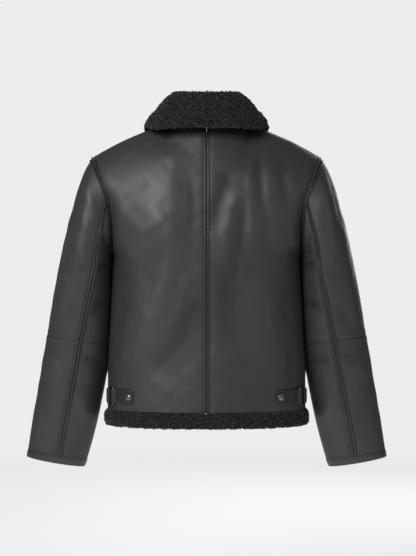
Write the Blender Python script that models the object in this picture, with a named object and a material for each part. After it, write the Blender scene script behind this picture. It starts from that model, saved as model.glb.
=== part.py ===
# Shearling jacket, filled out as if worn, built from the pieces that a maker cuts and sews.
# Metres, +Z up. The wearer faces -Y, and +X is the wearer's left.
# The origin is between the neck points of the shoulders, where the wearer holds the jacket up.

import math

import bmesh
import bpy
import numpy as np
from mathutils import Matrix, Vector

for old in list(bpy.data.objects):
    bpy.data.objects.remove(old, do_unlink=True)

# Cloth and seams
WALL = 0.005                # leather with its clipped wool
SEAM_GAP = 0.0003
ARMHOLE_GAP = 0.0004

# Neck and shoulders
NECK_HALF_WIDTH = 0.080
NECK_BACK_DEPTH = 0.068
NECK_BACK_DROP = 0.012
NECK_FRONT_DEPTH = 0.104
NECK_FRONT_DROP = 0.088
NECK_FRONT_POWER = 1.3
NECK_SHARE = 0.375          # share of a panel's top edge that is neckline
SHOULDER_LENGTH = 0.1675    # along X, from the neck point to the shoulder point
SHOULDER_SLOPE = 0.354
SHOULDER_BEND = 0.574

# Armhole, an upright oval whose plane leans outwards at the top
ARMHOLE_Z = -0.185
ARMHOLE_UP = 0.1078
ARMHOLE_DOWN = 0.105
ARMHOLE_BACK = 0.088
ARMHOLE_FRONT = 0.085
ARMHOLE_LEAN = (
    # z, x
    (-0.2900, 0.2050),
    (-0.2200, 0.2060),
    (-0.1760, 0.2105),
    (-0.1250, 0.2285),
    (-0.0772, 0.2475),
)

# Torso sections from the hem up to the armpit
TORSO_ROWS = (
    # z, half_width, back_depth, front_depth
    (-0.6290, 0.2175, 0.1300, 0.1340),
    (-0.5500, 0.2165, 0.1270, 0.1350),
    (-0.4700, 0.2125, 0.1240, 0.1360),
    (-0.3800, 0.2085, 0.1250, 0.1380),
    (-0.2900, 0.2050, 0.1300, 0.1400),
)
# Torso sections from the armpit up to the shoulder, by the angle on the armhole
YOKE_ROWS = (
    # armhole_deg, back_z, back_depth, front_z, front_depth, wrap_deg, shoulder_share
    (-60.0, -0.2620, 0.1310, -0.2680, 0.1400, 88.0, 0.00),
    (-30.0, -0.2150, 0.1290, -0.2320, 0.1390, 80.0, 0.00),
    (0.0, -0.1600, 0.1220, -0.1900, 0.1345, 68.0, 0.00),
    (25.0, -0.1100, 0.1100, -0.1550, 0.1275, 58.0, 0.04),
    (50.0, -0.0650, 0.0940, -0.1220, 0.1190, 49.0, 0.22),
    (72.0, -0.0330, 0.0790, -0.1020, 0.1110, 44.0, 0.58),
    (90.0, -0.0120, 0.0680, -0.0880, 0.1040, 42.0, 1.00),
)
SHOULDER_ROUND = 0.008      # how far the shoulder swells beside its seam
SECTION_POWER = 0.86        # below 1 the back and front are flatter and the sides rounder
BODY_ROW_COUNT = {"back": 11, "front": 8}
NECK_COLUMNS = 6
SHOULDER_COLUMNS = 8

# Sleeve sections, each between its outer and its inner edge as seen from behind
SLEEVE_RINGS = (
    # outer_x, outer_z, inner_x, inner_z, half_depth, centre_y, back_seam_deg
    (0.2640, -0.1010, 0.2080, -0.2965, 0.0900, 0.000, 93.0),
    (0.2790, -0.1400, 0.2085, -0.3020, 0.0910, 0.000, 99.0),
    (0.2920, -0.1850, 0.2090, -0.3080, 0.0900, 0.000, 105.0),
    (0.3045, -0.2330, 0.2095, -0.3150, 0.0880, -0.001, 111.0),
    (0.3175, -0.2900, 0.2105, -0.3260, 0.0850, -0.002, 116.0),
    (0.3290, -0.3480, 0.2118, -0.3760, 0.0780, -0.004, 109.0),
    (0.3400, -0.4050, 0.2135, -0.4310, 0.0700, -0.008, 101.0),
    (0.3510, -0.4690, 0.2160, -0.4906, 0.0640, -0.014, 95.0),
    (0.3615, -0.5250, 0.2205, -0.5470, 0.0590, -0.022, 93.0),
    (0.3720, -0.5900, 0.2315, -0.6120, 0.0540, -0.030, 92.0),
    (0.3840, -0.6560, 0.2455, -0.6780, 0.0490, -0.037, 92.0),
    (0.3944, -0.7220, 0.2640, -0.7430, 0.0425, -0.043, 94.0),
    (0.3975, -0.7400, 0.2712, -0.7620, 0.0400, -0.045, 94.0),
)
ARMHOLE_SEAM_DEG = 88.0     # where the back and front sleeve seams leave the armhole
FRONT_SEAM_DEG = 88.0
ELBOW_RING = 8
CUFF_RING = 12
CUFF_END_RING = 13
SEAM_ROWS_EACH_SIDE = 5     # columns of a sleeve panel on each side of its middle

# Folds: strokes from start to end with a half width and a height, negative for a trough
BACK_FOLDS = (
    # x_start, z_start, x_end, z_end, half_width, height
    (0.115, -0.115, 0.122, -0.215, 0.036, 0.0040),
    (0.056, -0.105, 0.058, -0.315, 0.018, -0.0040),
    (0.110, -0.230, 0.158, -0.290, 0.016, -0.0045),
    (0.086, -0.230, 0.110, -0.365, 0.017, 0.0045),
    (0.110, -0.365, 0.138, -0.500, 0.018, 0.0040),
    (0.072, -0.300, 0.108, -0.520, 0.016, -0.0035),
    (0.006, -0.405, 0.098, -0.535, 0.022, 0.0030),
    (-0.020, -0.155, -0.024, -0.215, 0.018, -0.0025),
    (-0.066, -0.130, -0.070, -0.260, 0.020, 0.0040),
    (-0.080, -0.190, -0.044, -0.310, 0.015, -0.0040),
    (-0.118, -0.160, -0.116, -0.350, 0.018, 0.0040),
    (-0.150, -0.190, -0.100, -0.400, 0.016, -0.0035),
    (-0.070, -0.360, -0.120, -0.520, 0.018, 0.0035),
    (-0.020, -0.420, -0.080, -0.560, 0.018, -0.0030),
)
FRONT_FOLDS = (
    # x_start, z_start, x_end, z_end, half_width, height
    (0.120, -0.150, 0.100, -0.300, 0.026, 0.0040),
    (0.150, -0.240, 0.095, -0.380, 0.016, -0.0040),
    (0.080, -0.330, 0.130, -0.520, 0.020, 0.0035),
    (0.060, -0.420, 0.085, -0.560, 0.016, -0.0030),
    (-0.115, -0.140, -0.105, -0.290, 0.026, 0.0040),
    (-0.148, -0.260, -0.090, -0.400, 0.016, -0.0040),
    (-0.075, -0.350, -0.125, -0.510, 0.020, 0.0035),
    (-0.055, -0.440, -0.090, -0.560, 0.016, -0.0030),
)
SLEEVE_FOLDS = (
    # deg_start, ring_start, deg_end, ring_end, half_width, height
    (60.0, 1.5, 75.0, 4.5, 0.020, 0.0040),
    (150.0, 4.6, 95.0, 5.4, 0.014, -0.0040),
    (160.0, 6.4, 70.0, 7.2, 0.014, -0.0035),
    (45.0, 4.0, 50.0, 7.0, 0.018, 0.0030),
    (150.0, 8.8, 80.0, 8.5, 0.013, -0.0035),
    (60.0, 9.2, 125.0, 10.4, 0.015, 0.0030),
    (-60.0, 2.0, -70.0, 5.0, 0.020, 0.0035),
    (-150.0, 5.2, -85.0, 5.9, 0.014, -0.0040),
    (-160.0, 7.2, -75.0, 7.7, 0.014, -0.0040),
    (-150.0, 8.7, -70.0, 8.9, 0.013, -0.0035),
    (-55.0, 9.4, -120.0, 10.8, 0.015, 0.0030),
)
SLEEVE_MEAN_RADIUS = 0.066
SLEEVE_RING_LENGTH = 0.052

# Collar: the neckline carries the stand, which turns over at the fold and falls to the edge
COLLAR_STAND_WALL = 0.009
COLLAR_FALL_WALL = 0.013
COLLAR_SEAT = 0.0005        # above the neckline
COLLAR_STATIONS = (
    # station, fold_x, fold_y, fold_z, edge_x, edge_y, edge_z
    (0.00, 0.000, 0.0820, 0.0540, 0.000, 0.1040, -0.0200),
    (0.20, 0.044, 0.0730, 0.0550, 0.068, 0.0960, -0.0205),
    (0.36, 0.070, 0.0440, 0.0575, 0.112, 0.0620, -0.0200),
    (0.50, 0.080, 0.0020, 0.0600, 0.129, 0.0120, -0.0080),
    (0.64, 0.078, -0.0420, 0.0450, 0.131, -0.0480, -0.0170),
    (0.82, 0.058, -0.0860, 0.0080, 0.118, -0.1060, -0.0560),
    (1.00, 0.018, -0.1160, -0.0400, 0.078, -0.1400, -0.1130),
)
COLLAR_ROWS = 13
COLLAR_ROLL = 0.0075        # half width of the roll at the fold

# Hem band, fur outside, flush with the inside of the wall
HEM_BAND_TOP = -0.6293
HEM_BAND_BOTTOM = -0.6650
HEM_BAND_PROUD = 0.0080
HEM_BAND_STATIONS = 15      # on each quarter

# Strips over the seams, with a groove along the middle
STRIP_HALF_WIDTH = 0.0065
STRIP_LIFT = 0.00095
STRIP_PROFILE = (
    # share of the half width, height
    (-1.00, 0.0007),
    (-0.55, 0.0016),
    (0.00, 0.0008),
    (0.55, 0.0016),
    (1.00, 0.0007),
)
ARMHOLE_STRIP_START = 0.0010
ARMHOLE_STRIP_LENGTH = 2 * STRIP_HALF_WIDTH
ARMHOLE_STRIP_COLUMNS = 2   # columns of the under sleeve that the strip covers

# Zip
ZIP_OPENING_HALF = 0.011
TAPE_INNER_X = 0.0042
TAPE_OUTER_X = 0.0240
TAPE_THICK = 0.0012
TAPE_SINK = WALL + 2 * SEAM_GAP
CHAIN_HALF_WIDTH = 0.0039
CHAIN_FRONT_SINK = 0.0030
CHAIN_BACK_SINK = 0.0068
ZIP_BOTTOM = -0.6640
ZIP_TOP = -0.1070
SLIDER_Z = -0.1210
SLIDER_HALF = (0.0060, 0.0028, 0.0075)
PULL_AXIS_OUT = 0.0058      # from the slider's face out to the pull's axis
PULL_HALF_THICK = 0.0008
PULL_HALF_WIDTH = 0.0040
PULL_LENGTH = 0.0270
PULL_SLOT = (0.0016, 0.0060)
BRIDGE_HALF_WIDTH = 0.0010
BRIDGE_HALF_HEIGHT = 0.0030
BRIDGE_THICK = 0.0016

# Waist tabs
TAB_Z = -0.5990
TAB_HEIGHT = 0.0310
TAB_THICK = 0.0024
TAB_LIFT = 0.0006
RING_WIRE = 0.0018
RING_BAR_SPACING = 0.0180
RING_HEIGHT = 0.0360        # between the centres of its cross bars
RING_CENTRE_X = 0.2030      # on the torso's surface
RING_CORNER = 0.0022
LOOP_CLEARANCE = 0.0006
TAB_TIP_X = {"left": 0.1570, "right": 0.1490}
ANCHOR_LENGTH = 0.0340
SNAP_RADIUS = 0.0075
SNAP_HEIGHT = 0.0026
SNAP_FROM_TIP = 0.0110

EPS = 1e-4


# Curves and surfaces

def smooth(knots, values, at):
    """Cubic curve through the values at the knots."""
    knots = np.asarray(knots, float)
    values = np.asarray(values, float)
    at = np.asarray(at, float)
    slopes = np.gradient(values, knots, axis=0)
    cell = np.clip(np.searchsorted(knots, at) - 1, 0, len(knots) - 2)
    width = knots[cell + 1] - knots[cell]
    t = (at - knots[cell]) / width
    if values.ndim > 1:
        shape = t.shape + (1,) * (values.ndim - 1)
        t = t.reshape(shape)
        width = width.reshape(shape)
    h00 = 2 * t**3 - 3 * t**2 + 1
    h10 = t**3 - 2 * t**2 + t
    h01 = -2 * t**3 + 3 * t**2
    h11 = t**3 - t**2
    return (h00 * values[cell] + h10 * width * slopes[cell]
            + h01 * values[cell + 1] + h11 * width * slopes[cell + 1])


def unit(vectors):
    return vectors / np.linalg.norm(vectors, axis=-1, keepdims=True)


def fade(value, length):
    """0 at zero, rising smoothly to 1 at the length."""
    t = np.clip(value / length, 0, 1)
    return t * t * (3 - 2 * t)


def stroke(a, b, start, end, half_width):
    """Share of a fold at the points (a, b), which may be arrays."""
    ax, bx = start
    da, db = end[0] - ax, end[1] - bx
    length = math.hypot(da, db)
    along = ((a - ax) * da + (b - bx) * db) / length
    across = ((a - ax) * db - (b - bx) * da) / length
    beyond = np.maximum(np.maximum(-along, along - length), 0)
    return np.exp(-(across / half_width)**2 - (beyond / (1.3 * half_width))**2)


def armhole(alpha_deg, scale=1.0):
    """Points of the armhole: -90 is the armpit, 90 the shoulder point, on the back for +Y."""
    alpha = np.radians(np.asarray(alpha_deg, float))
    up = np.where(np.sin(alpha) > 0, ARMHOLE_UP, ARMHOLE_DOWN)
    deep = np.where(np.cos(alpha) > 0, ARMHOLE_BACK, ARMHOLE_FRONT)
    y = scale * deep * np.cos(alpha)
    z = ARMHOLE_Z + scale * up * np.sin(alpha)
    lean = np.array(ARMHOLE_LEAN)
    x = smooth(lean[:, 0], lean[:, 1], z)
    return np.stack([x, y, z], axis=-1)


def neckline(face, turn):
    """Neckline from the centre (turn 0) to the neck point (turn 1)."""
    beta = np.radians(90 * np.asarray(turn, float))
    x = NECK_HALF_WIDTH * np.sin(beta)
    if face == "back":
        return np.stack([x, NECK_BACK_DEPTH * np.cos(beta), -NECK_BACK_DROP * np.cos(beta)], axis=-1)
    y = -NECK_FRONT_DEPTH * np.cos(beta)
    z = -NECK_FRONT_DROP * np.abs(np.cos(beta))**NECK_FRONT_POWER
    return np.stack([x, y, z], axis=-1)


def top_edge(face, u):
    """Neckline, then shoulder seam, from the centre (0) to the shoulder point (1)."""
    out = np.clip((u - NECK_SHARE) / (1 - NECK_SHARE), 0, 1) * SHOULDER_LENGTH
    seam = np.stack([NECK_HALF_WIDTH + out, 0 * out,
                     -(SHOULDER_SLOPE * out + SHOULDER_BEND * out**2)], axis=-1)
    neck = neckline(face, np.clip(u / NECK_SHARE, 0, 1))
    return np.where((u < NECK_SHARE)[..., None], neck, seam)


def torso_table(face):
    """Rows of v, z_centre, z_side, x_side, y_side, y_centre, wrap, shoulder share."""
    sign = 1 if face == "back" else -1
    rows = []
    armpit_z = TORSO_ROWS[-1][0]
    span = armpit_z - TORSO_ROWS[0][0]
    for z, half_width, back_depth, front_depth in TORSO_ROWS:
        depth = back_depth if face == "back" else front_depth
        rows.append((-(armpit_z - z) / span, z, z, half_width, 0.0, sign * depth, 90.0, 0.0))
    for angle, back_z, back_depth, front_z, front_depth, wrap, share in YOKE_ROWS:
        centre_z, depth = (back_z, back_depth) if face == "back" else (front_z, front_depth)
        side = armhole(angle if face == "back" else 180 - angle)
        rows.append(((angle + 90) / 180, centre_z, side[2], side[0], side[1], sign * depth, wrap, share))
    return np.array(rows)


TORSO_TABLE = {face: torso_table(face) for face in ("back", "front")}


def torso(face, v, u):
    """Points of the left half at heights v (-1 hem, 0 armpit, 1 shoulder) and u (0 centre, 1 side)."""
    table = TORSO_TABLE[face]
    rows = smooth(table[:, 0], table[:, 1:], v)
    above = v > 0
    if above.any():
        angle = v[above] * 180 - 90
        side = armhole(angle if face == "back" else 180 - angle)
        rows[above, 1] = side[:, 2]
        rows[above, 2] = side[:, 0]
        rows[above, 3] = side[:, 1]
    rows[~above, 3] = 0
    rows[~above, 5] = 90
    grid = np.zeros((len(v), len(u), 3))
    for i, (z_centre, z_side, x_side, y_side, y_centre, wrap, share) in enumerate(rows):
        limit = math.radians(min(wrap, 90.0))
        phi = np.linspace(0, limit, 361)
        across = (np.sin(phi) / math.sin(limit))**SECTION_POWER
        depth = (np.cos(phi) - math.cos(limit)) / (1 - math.cos(limit))
        line = np.stack([x_side * across, y_side + (y_centre - y_side) * depth,
                         z_centre + (z_side - z_centre) * across**2], axis=-1)
        steps = np.linalg.norm(np.diff(line, axis=0), axis=1)
        length = np.concatenate([[0], np.cumsum(steps)])
        length /= length[-1]
        body = np.stack([np.interp(u, length, line[:, k]) for k in range(3)], axis=-1)
        share = min(max(share, 0.0), 1.0)
        grid[i] = (1 - share) * body + share * top_edge(face, u)
        grid[i, :, 2] += SHOULDER_ROUND * math.sin(math.pi * share) * fade(u, 0.4) * fade(1 - u, 0.25)
    return grid


def torso_normals(face, v, u):
    """Outward normals of the left half."""
    v0, v1 = np.clip(v - EPS, -1, 1), np.clip(v + EPS, -1, 1)
    u0, u1 = np.clip(u - 20 * EPS, 0, 1), np.clip(u + 20 * EPS, 0, 1)
    up = torso(face, v1, u) - torso(face, v0, u)
    out = torso(face, v, u1) - torso(face, v, u0)
    normals = unit(np.cross(up, out))
    return normals if face == "back" else -normals


def in_plane(offsets, normals, axis):
    """Turns offsets into the seam's plane and keeps the wall's thickness across the normal."""
    flat = offsets.copy()
    flat[..., axis] = 0
    flat = unit(flat)
    reach = -np.sum(flat * normals, axis=-1, keepdims=True)
    return flat * WALL / np.maximum(reach, 0.5)


def side_fade(v, u):
    """Folds die out at the side seam, the armhole, the hem and the shoulder."""
    return (fade(1 - u, 0.16)[None, :] * fade(v + 1, 0.30)[:, None] * fade(1 - v, 0.35)[:, None])


def torso_folds(face, side_sign, points, v, u):
    table = BACK_FOLDS if face == "back" else FRONT_FOLDS
    x, z = side_sign * points[..., 0], points[..., 2]
    height = sum(row[5] * stroke(x, z, row[0:2], row[2:4], row[4]) for row in table)
    return height * side_fade(v, u)


def sleeve_knots(part, c):
    """Points of every sleeve section at the places c across the top or under sleeve."""
    seam_back = np.array([ARMHOLE_SEAM_DEG] + [row[6] for row in SLEEVE_RINGS])
    back = c >= 0
    share = np.abs(c)
    rings = []
    for k, seam in enumerate(seam_back):
        seam_here = np.where(back, seam, FRONT_SEAM_DEG)
        if part == "top":
            theta = np.where(back, 1, -1) * share * seam_here
        else:
            theta = np.where(back, 180 - share * (180 - seam_here), -180 + share * (180 - seam_here))
        if k == 0:
            ring = armhole(90 - theta)
            ring[:, 0] += ARMHOLE_GAP
        else:
            outer_x, outer_z, inner_x, inner_z, half_depth, centre_y = SLEEVE_RINGS[k - 1][:6]
            turn = np.radians(theta)
            mix = (1 + np.cos(turn)) / 2
            ring = np.stack([inner_x + (outer_x - inner_x) * mix, centre_y + half_depth * np.sin(turn),
                             inner_z + (outer_z - inner_z) * mix], axis=-1)
        rings.append(ring)
    return np.array(rings)


def sleeve_angle(part, k, c):
    """Angle round the sleeve in degrees, 0 outside, 90 at the back, -90 in front."""
    knots = np.arange(len(SLEEVE_RINGS) + 1)
    seam = smooth(knots, [ARMHOLE_SEAM_DEG] + [row[6] for row in SLEEVE_RINGS], k)[:, None]
    seam_here = np.where(c >= 0, seam, FRONT_SEAM_DEG)
    share = np.abs(c)[None, :]
    sign = np.where(c >= 0, 1, -1)[None, :]
    if part == "top":
        return sign * share * seam_here
    return sign * (180 - share * (180 - seam_here))


def sleeve(part, k, c):
    knots = np.arange(len(SLEEVE_RINGS) + 1)
    return smooth(knots, sleeve_knots(part, c), k)


def sleeve_normals(part, k, c):
    last = len(SLEEVE_RINGS)
    k0, k1 = np.clip(k - EPS, 0, last), np.clip(k + EPS, 0, last)
    c0 = np.where(c > 0, c - EPS, c)
    c1 = np.where(c > 0, c, c + EPS)
    down = sleeve(part, k1, c) - sleeve(part, k0, c)
    round_it = sleeve(part, k, c1) - sleeve(part, k, c0)
    normals = unit(np.cross(down, round_it))
    return normals if part == "top" else -normals


def sleeve_folds(part, k, c):
    theta = sleeve_angle(part, k, c)
    height = np.zeros(theta.shape)
    arc = np.radians(theta) * SLEEVE_MEAN_RADIUS
    length = np.broadcast_to((k * SLEEVE_RING_LENGTH)[:, None], theta.shape)
    for deg0, ring0, deg1, ring1, half_width, rise in SLEEVE_FOLDS:
        start = (math.radians(deg0) * SLEEVE_MEAN_RADIUS, ring0 * SLEEVE_RING_LENGTH)
        end = (math.radians(deg1) * SLEEVE_MEAN_RADIUS, ring1 * SLEEVE_RING_LENGTH)
        height += rise * stroke(arc, length, start, end, half_width)
    inner = fade(178 - np.abs(theta), 40)
    # The double-stitched back seam is stiff, so a fold is shallower where it crosses it
    seam = sleeve_angle("top", k, np.array([1.0]))
    stiff = 0.03 + 0.97 * fade(np.abs(theta - seam), 30)
    return height * inner * stiff * fade(k, 1.5)[:, None] * fade(CUFF_RING - k, 1.0)[:, None]


def trimmed(points, first_row=0.0, last_row=0.0, first_column=0.0, last_column=0.0):
    """Moves the edges of a grid inwards along its surface by the given lengths."""
    out = points.copy()

    def pull(edge, neighbour, length):
        step = neighbour - edge
        return edge + step / np.linalg.norm(step, axis=-1, keepdims=True) * length

    if first_row:
        out[0] = pull(points[0], points[1], first_row)
    if last_row:
        out[-1] = pull(points[-1], points[-2], last_row)
    if first_column:
        out[:, 0] = pull(out[:, 0], out[:, 1], first_column)
    if last_column:
        out[:, -1] = pull(out[:, -1], out[:, -2], last_column)
    return out


# Making objects

jacket = bpy.data.collections.new("shearling_jacket")
cutters = bpy.data.collections.new("cutters")
bpy.context.scene.collection.children.link(jacket)
bpy.context.scene.collection.children.link(cutters)


def material(name, colour, roughness, metallic):
    made = bpy.data.materials.new(name)
    made.use_nodes = True
    shader = made.node_tree.nodes["Principled BSDF"]
    shader.inputs["Base Color"].default_value = (*colour, 1)
    shader.inputs["Roughness"].default_value = roughness
    shader.inputs["Metallic"].default_value = metallic
    made.diffuse_color = (*colour, 1)
    return made


def own_material(name, finish):
    colour, roughness, metallic = FINISHES[finish]
    return material(name + "_" + finish, colour, roughness, metallic)


FINISHES = {
    "leather": ((0.030, 0.030, 0.032), 0.42, 0.0),
    "fur": ((0.012, 0.012, 0.013), 0.90, 0.0),
    "metal": ((0.300, 0.300, 0.310), 0.30, 1.0),
    "tape": ((0.020, 0.020, 0.022), 0.80, 0.0),
}


def add_mesh(name, bm, finish, smooth_angle=math.radians(40)):
    if bm.calc_volume(signed=True) < 0:
        bmesh.ops.reverse_faces(bm, faces=bm.faces[:])
    mesh = bpy.data.meshes.new(name)
    bm.to_mesh(mesh)
    bm.free()
    mesh.shade_smooth()
    mesh.set_sharp_from_angle(angle=smooth_angle)
    made = bpy.data.objects.new(name, mesh)
    mesh.materials.append(own_material(name, finish))
    jacket.objects.link(made)
    return made


def add_wall(name, outer, inner, finish, closed=False):
    """A cloth wall lofted between its outer and its inner points. Each seam edge is cut in its own
    direction, so the thickness can't come from a Solidify modifier."""
    rows, columns = outer.shape[:2]
    bm = bmesh.new()
    skins = [[[bm.verts.new(p) for p in row] for row in points] for points in (outer, inner)]
    last = columns if closed else columns - 1
    for r in range(rows - 1):
        for c in range(last):
            d = (c + 1) % columns
            a, b = skins
            bm.faces.new((a[r][c], a[r][d], a[r + 1][d], a[r + 1][c]))
            bm.faces.new((b[r][c], b[r + 1][c], b[r + 1][d], b[r][d]))
    for c in range(last):
        d = (c + 1) % columns
        a, b = skins[0][0], skins[1][0]
        bm.faces.new((a[c], b[c], b[d], a[d]))
        a, b = skins[0][-1], skins[1][-1]
        bm.faces.new((a[c], a[d], b[d], b[c]))
    if not closed:
        for r in range(rows - 1):
            a, b = skins[0], skins[1]
            bm.faces.new((a[r][0], a[r + 1][0], b[r + 1][0], b[r][0]))
            bm.faces.new((a[r][-1], b[r][-1], b[r + 1][-1], a[r + 1][-1]))
    return add_mesh(name, bm, finish)


def mirrored(points, side_sign):
    out = points.copy()
    out[..., 0] *= side_sign
    return out


SIDES = (("left", 1), ("right", -1))
ALPHA_SEAM = 90 - ARMHOLE_SEAM_DEG
YOKE_ALPHA = np.concatenate([
    np.linspace(-90, ALPHA_SEAM, SEAM_ROWS_EACH_SIDE + 1),
    np.linspace(ALPHA_SEAM, 90, SEAM_ROWS_EACH_SIDE + 1)[1:],
])
V_ROWS = {face: np.concatenate([np.linspace(-1, 0, count + 1), (YOKE_ALPHA[1:] + 90) / 180])
          for face, count in BODY_ROW_COUNT.items()}
# The front neckline starts at the zip's edge instead of the centre
NECK_START = {"back": 0.0, "front": math.degrees(math.asin(ZIP_OPENING_HALF / NECK_HALF_WIDTH)) / 90}


# Back and front panels

def panel_columns(face):
    neck = NECK_SHARE * np.linspace(NECK_START[face], 1, NECK_COLUMNS + 1)
    rest = np.linspace(NECK_SHARE, 1, SHOULDER_COLUMNS + 1)
    return np.concatenate([neck, rest[1:]])


def build_panel(face, side, side_sign):
    v_rows, u_columns = V_ROWS[face], panel_columns(face)
    points = torso(face, v_rows, u_columns)
    normals = torso_normals(face, v_rows, u_columns)
    folds = torso_folds(face, side_sign, points, v_rows, u_columns)
    points = points + folds[..., None] * normals
    offsets = -WALL * normals
    offsets[:, 0] = in_plane(offsets[:, 0], normals[:, 0], 0)
    below = v_rows <= 0
    offsets[below, -1] = in_plane(offsets[below, -1], normals[below, -1], 1)
    on_shoulder = u_columns >= NECK_SHARE - EPS
    offsets[-1, on_shoulder] = in_plane(offsets[-1, on_shoulder], normals[-1, on_shoulder], 1)
    above = v_rows >= 0
    alpha = v_rows[above] * 180 - 90
    alpha = alpha if face == "back" else 180 - alpha
    to_middle = unit(armhole(alpha, 0.95) - armhole(alpha))
    reach = -np.sum(to_middle * normals[above, -1], axis=-1, keepdims=True)
    offsets[above, -1] = to_middle * WALL / np.maximum(reach, 0.6)
    if face == "front":
        cut = ZIP_OPENING_HALF
        for r in range(len(points)):
            x = points[r, :, 0]
            share = (cut - x[0]) / (x[1] - x[0])
            points[r, 0] += share * (points[r, 1] - points[r, 0])
            offsets[r, 0] += share * (offsets[r, 1] - offsets[r, 0])
            offsets[r, 0, 0] = 0
    inner = points + offsets
    half = SEAM_GAP / 2
    sign = 1 if face == "back" else -1
    for skin in (points, inner):
        if face == "back":
            skin[:, 0, 0] = half
        skin[below, -1, 1] = sign * half
        skin[-1, on_shoulder, 1] = sign * half
        skin[above, -1, 0] -= ARMHOLE_GAP / 2
    add_wall(face + "_" + side, mirrored(points, side_sign), mirrored(inner, side_sign), "leather")
    return points, normals


# Sleeves

def sleeve_columns():
    half = np.linspace(0, 1, SEAM_ROWS_EACH_SIDE + 1)
    return np.concatenate([-half[::-1], half[1:]])


C_COLUMNS = sleeve_columns()
K_ROWS = {
    "upper": np.arange(0, ELBOW_RING + 0.1, 0.5),
    "lower": np.arange(ELBOW_RING, CUFF_RING + 0.1, 0.5),
}


def sleeve_skin(part, k):
    points = sleeve(part, k, C_COLUMNS)
    normals = sleeve_normals(part, k, C_COLUMNS)
    points = points + sleeve_folds(part, k, C_COLUMNS)[..., None] * normals
    return points, normals


def build_sleeve_panel(part, level, side, side_sign):
    k = K_ROWS[level]
    points, normals = sleeve_skin(part, k)
    offsets = -WALL * normals
    if level == "upper":
        theta = sleeve_angle(part, k[:1], C_COLUMNS)[0]
        to_middle = unit(armhole(90 - theta, 0.95) - armhole(90 - theta))
        reach = -np.sum(to_middle * normals[0], axis=-1, keepdims=True)
        offsets[0] = to_middle * WALL / np.maximum(reach, 0.6)
    half = SEAM_GAP / 2
    first_row = half if level == "lower" else 0
    outer = trimmed(points, first_row, half, half, half)
    inner = trimmed(points + offsets, first_row, half, half, half)
    name = "_".join(("sleeve", part, level, side))
    add_wall(name, mirrored(outer, side_sign), mirrored(inner, side_sign), "leather")


def build_cuff(side, side_sign):
    k = np.array([CUFF_RING + 0.01, CUFF_RING + 0.5, CUFF_END_RING])
    rings, offs = [], []
    for part, columns in (("top", C_COLUMNS), ("under", C_COLUMNS[::-1][1:-1])):
        rings.append(sleeve(part, k, columns))
        offs.append(sleeve_normals(part, k, columns))
    points = np.concatenate(rings, axis=1)
    normals = np.concatenate(offs, axis=1)
    inner = trimmed(points - WALL * normals, SEAM_GAP / 2)
    outer = trimmed(points, SEAM_GAP / 2)
    add_wall("cuff_" + side, mirrored(outer, side_sign), mirrored(inner, side_sign), "leather", closed=True)


# Strips over seams

def build_strip(name, base, normals, side_sign=1):
    """base and normals: rows along the strip, one column for each line of the strip's profile."""
    heights = np.array([row[1] for row in STRIP_PROFILE])[None, :, None]
    inner = base + STRIP_LIFT * normals
    outer = inner + heights * normals
    add_wall(name, mirrored(outer, side_sign), mirrored(inner, side_sign), "leather")


def lines_across(left, left_normals, right, right_normals):
    """Lines of a strip that straddles a seam: left and right hold the seam's column first and the
    next column of each panel after it."""
    base, out = [], []
    for share, _ in STRIP_PROFILE:
        panel, normals = (left, left_normals) if share < 0 else (right, right_normals)
        width = np.linalg.norm(panel[:, 1] - panel[:, 0], axis=-1, keepdims=True)
        t = abs(share) * STRIP_HALF_WIDTH / width
        base.append(panel[:, 0] + t * (panel[:, 1] - panel[:, 0]))
        out.append(unit(normals[:, 0] + t * (normals[:, 1] - normals[:, 0])))
    return np.stack(base, axis=1), np.stack(out, axis=1)


def build_centre_back_strip(panels):
    (left, left_normals), (right, right_normals) = panels
    rows = V_ROWS["back"] < 1
    base, normals = lines_across(left[rows][:, :2], left_normals[rows][:, :2],
                                 mirrored(right[rows][:, :2], -1), mirrored(right_normals[rows][:, :2], -1))
    base[0] += (base[1] - base[0]) * 0.02
    build_strip("centre_back_strip", base, normals)


def build_sleeve_strip(side, side_sign):
    k = np.concatenate([K_ROWS["upper"], K_ROWS["lower"][1:]])
    top, top_normals = sleeve_skin("top", k)
    under, under_normals = sleeve_skin("under", k)
    base, normals = lines_across(top[:, [-1, -2]], top_normals[:, [-1, -2]],
                                 under[:, [-1, -2]], under_normals[:, [-1, -2]])
    length = np.linalg.norm(base[1] - base[0], axis=-1, keepdims=True)
    start = (ARMHOLE_STRIP_START + ARMHOLE_STRIP_LENGTH + SEAM_GAP) / length
    base[0] += (base[1] - base[0]) * start
    normals[0] = unit(normals[0] + (normals[1] - normals[0]) * start)
    build_strip("sleeve_strip_" + side, base, normals, side_sign)


def build_armhole_strip(side, side_sign):
    """Lies on the sleeve beside the armhole seam, over the shoulder and down to both underarms."""
    k = K_ROWS["upper"][:2]
    top, top_normals = sleeve_skin("top", k)
    under, under_normals = sleeve_skin("under", k)
    count = ARMHOLE_STRIP_COLUMNS
    low_front = under[:, 1:count + 1][:, ::-1]
    low_front_n = under_normals[:, 1:count + 1][:, ::-1]
    low_back = under[:, -count - 1:-1][:, ::-1]
    low_back_n = under_normals[:, -count - 1:-1][:, ::-1]
    points = np.concatenate([low_front, top, low_back], axis=1)
    normals = np.concatenate([low_front_n, top_normals, low_back_n], axis=1)
    step = points[1] - points[0]
    length = np.linalg.norm(step, axis=-1, keepdims=True)
    base, out = [], []
    for share, _ in STRIP_PROFILE:
        t = (ARMHOLE_STRIP_START + (1 + share) * STRIP_HALF_WIDTH) / length
        base.append(points[0] + t * step)
        out.append(unit(normals[0] + t * (normals[1] - normals[0])))
    build_strip("armhole_strip_" + side, np.stack(base, axis=1), np.stack(out, axis=1), side_sign)


# Collar

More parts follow.
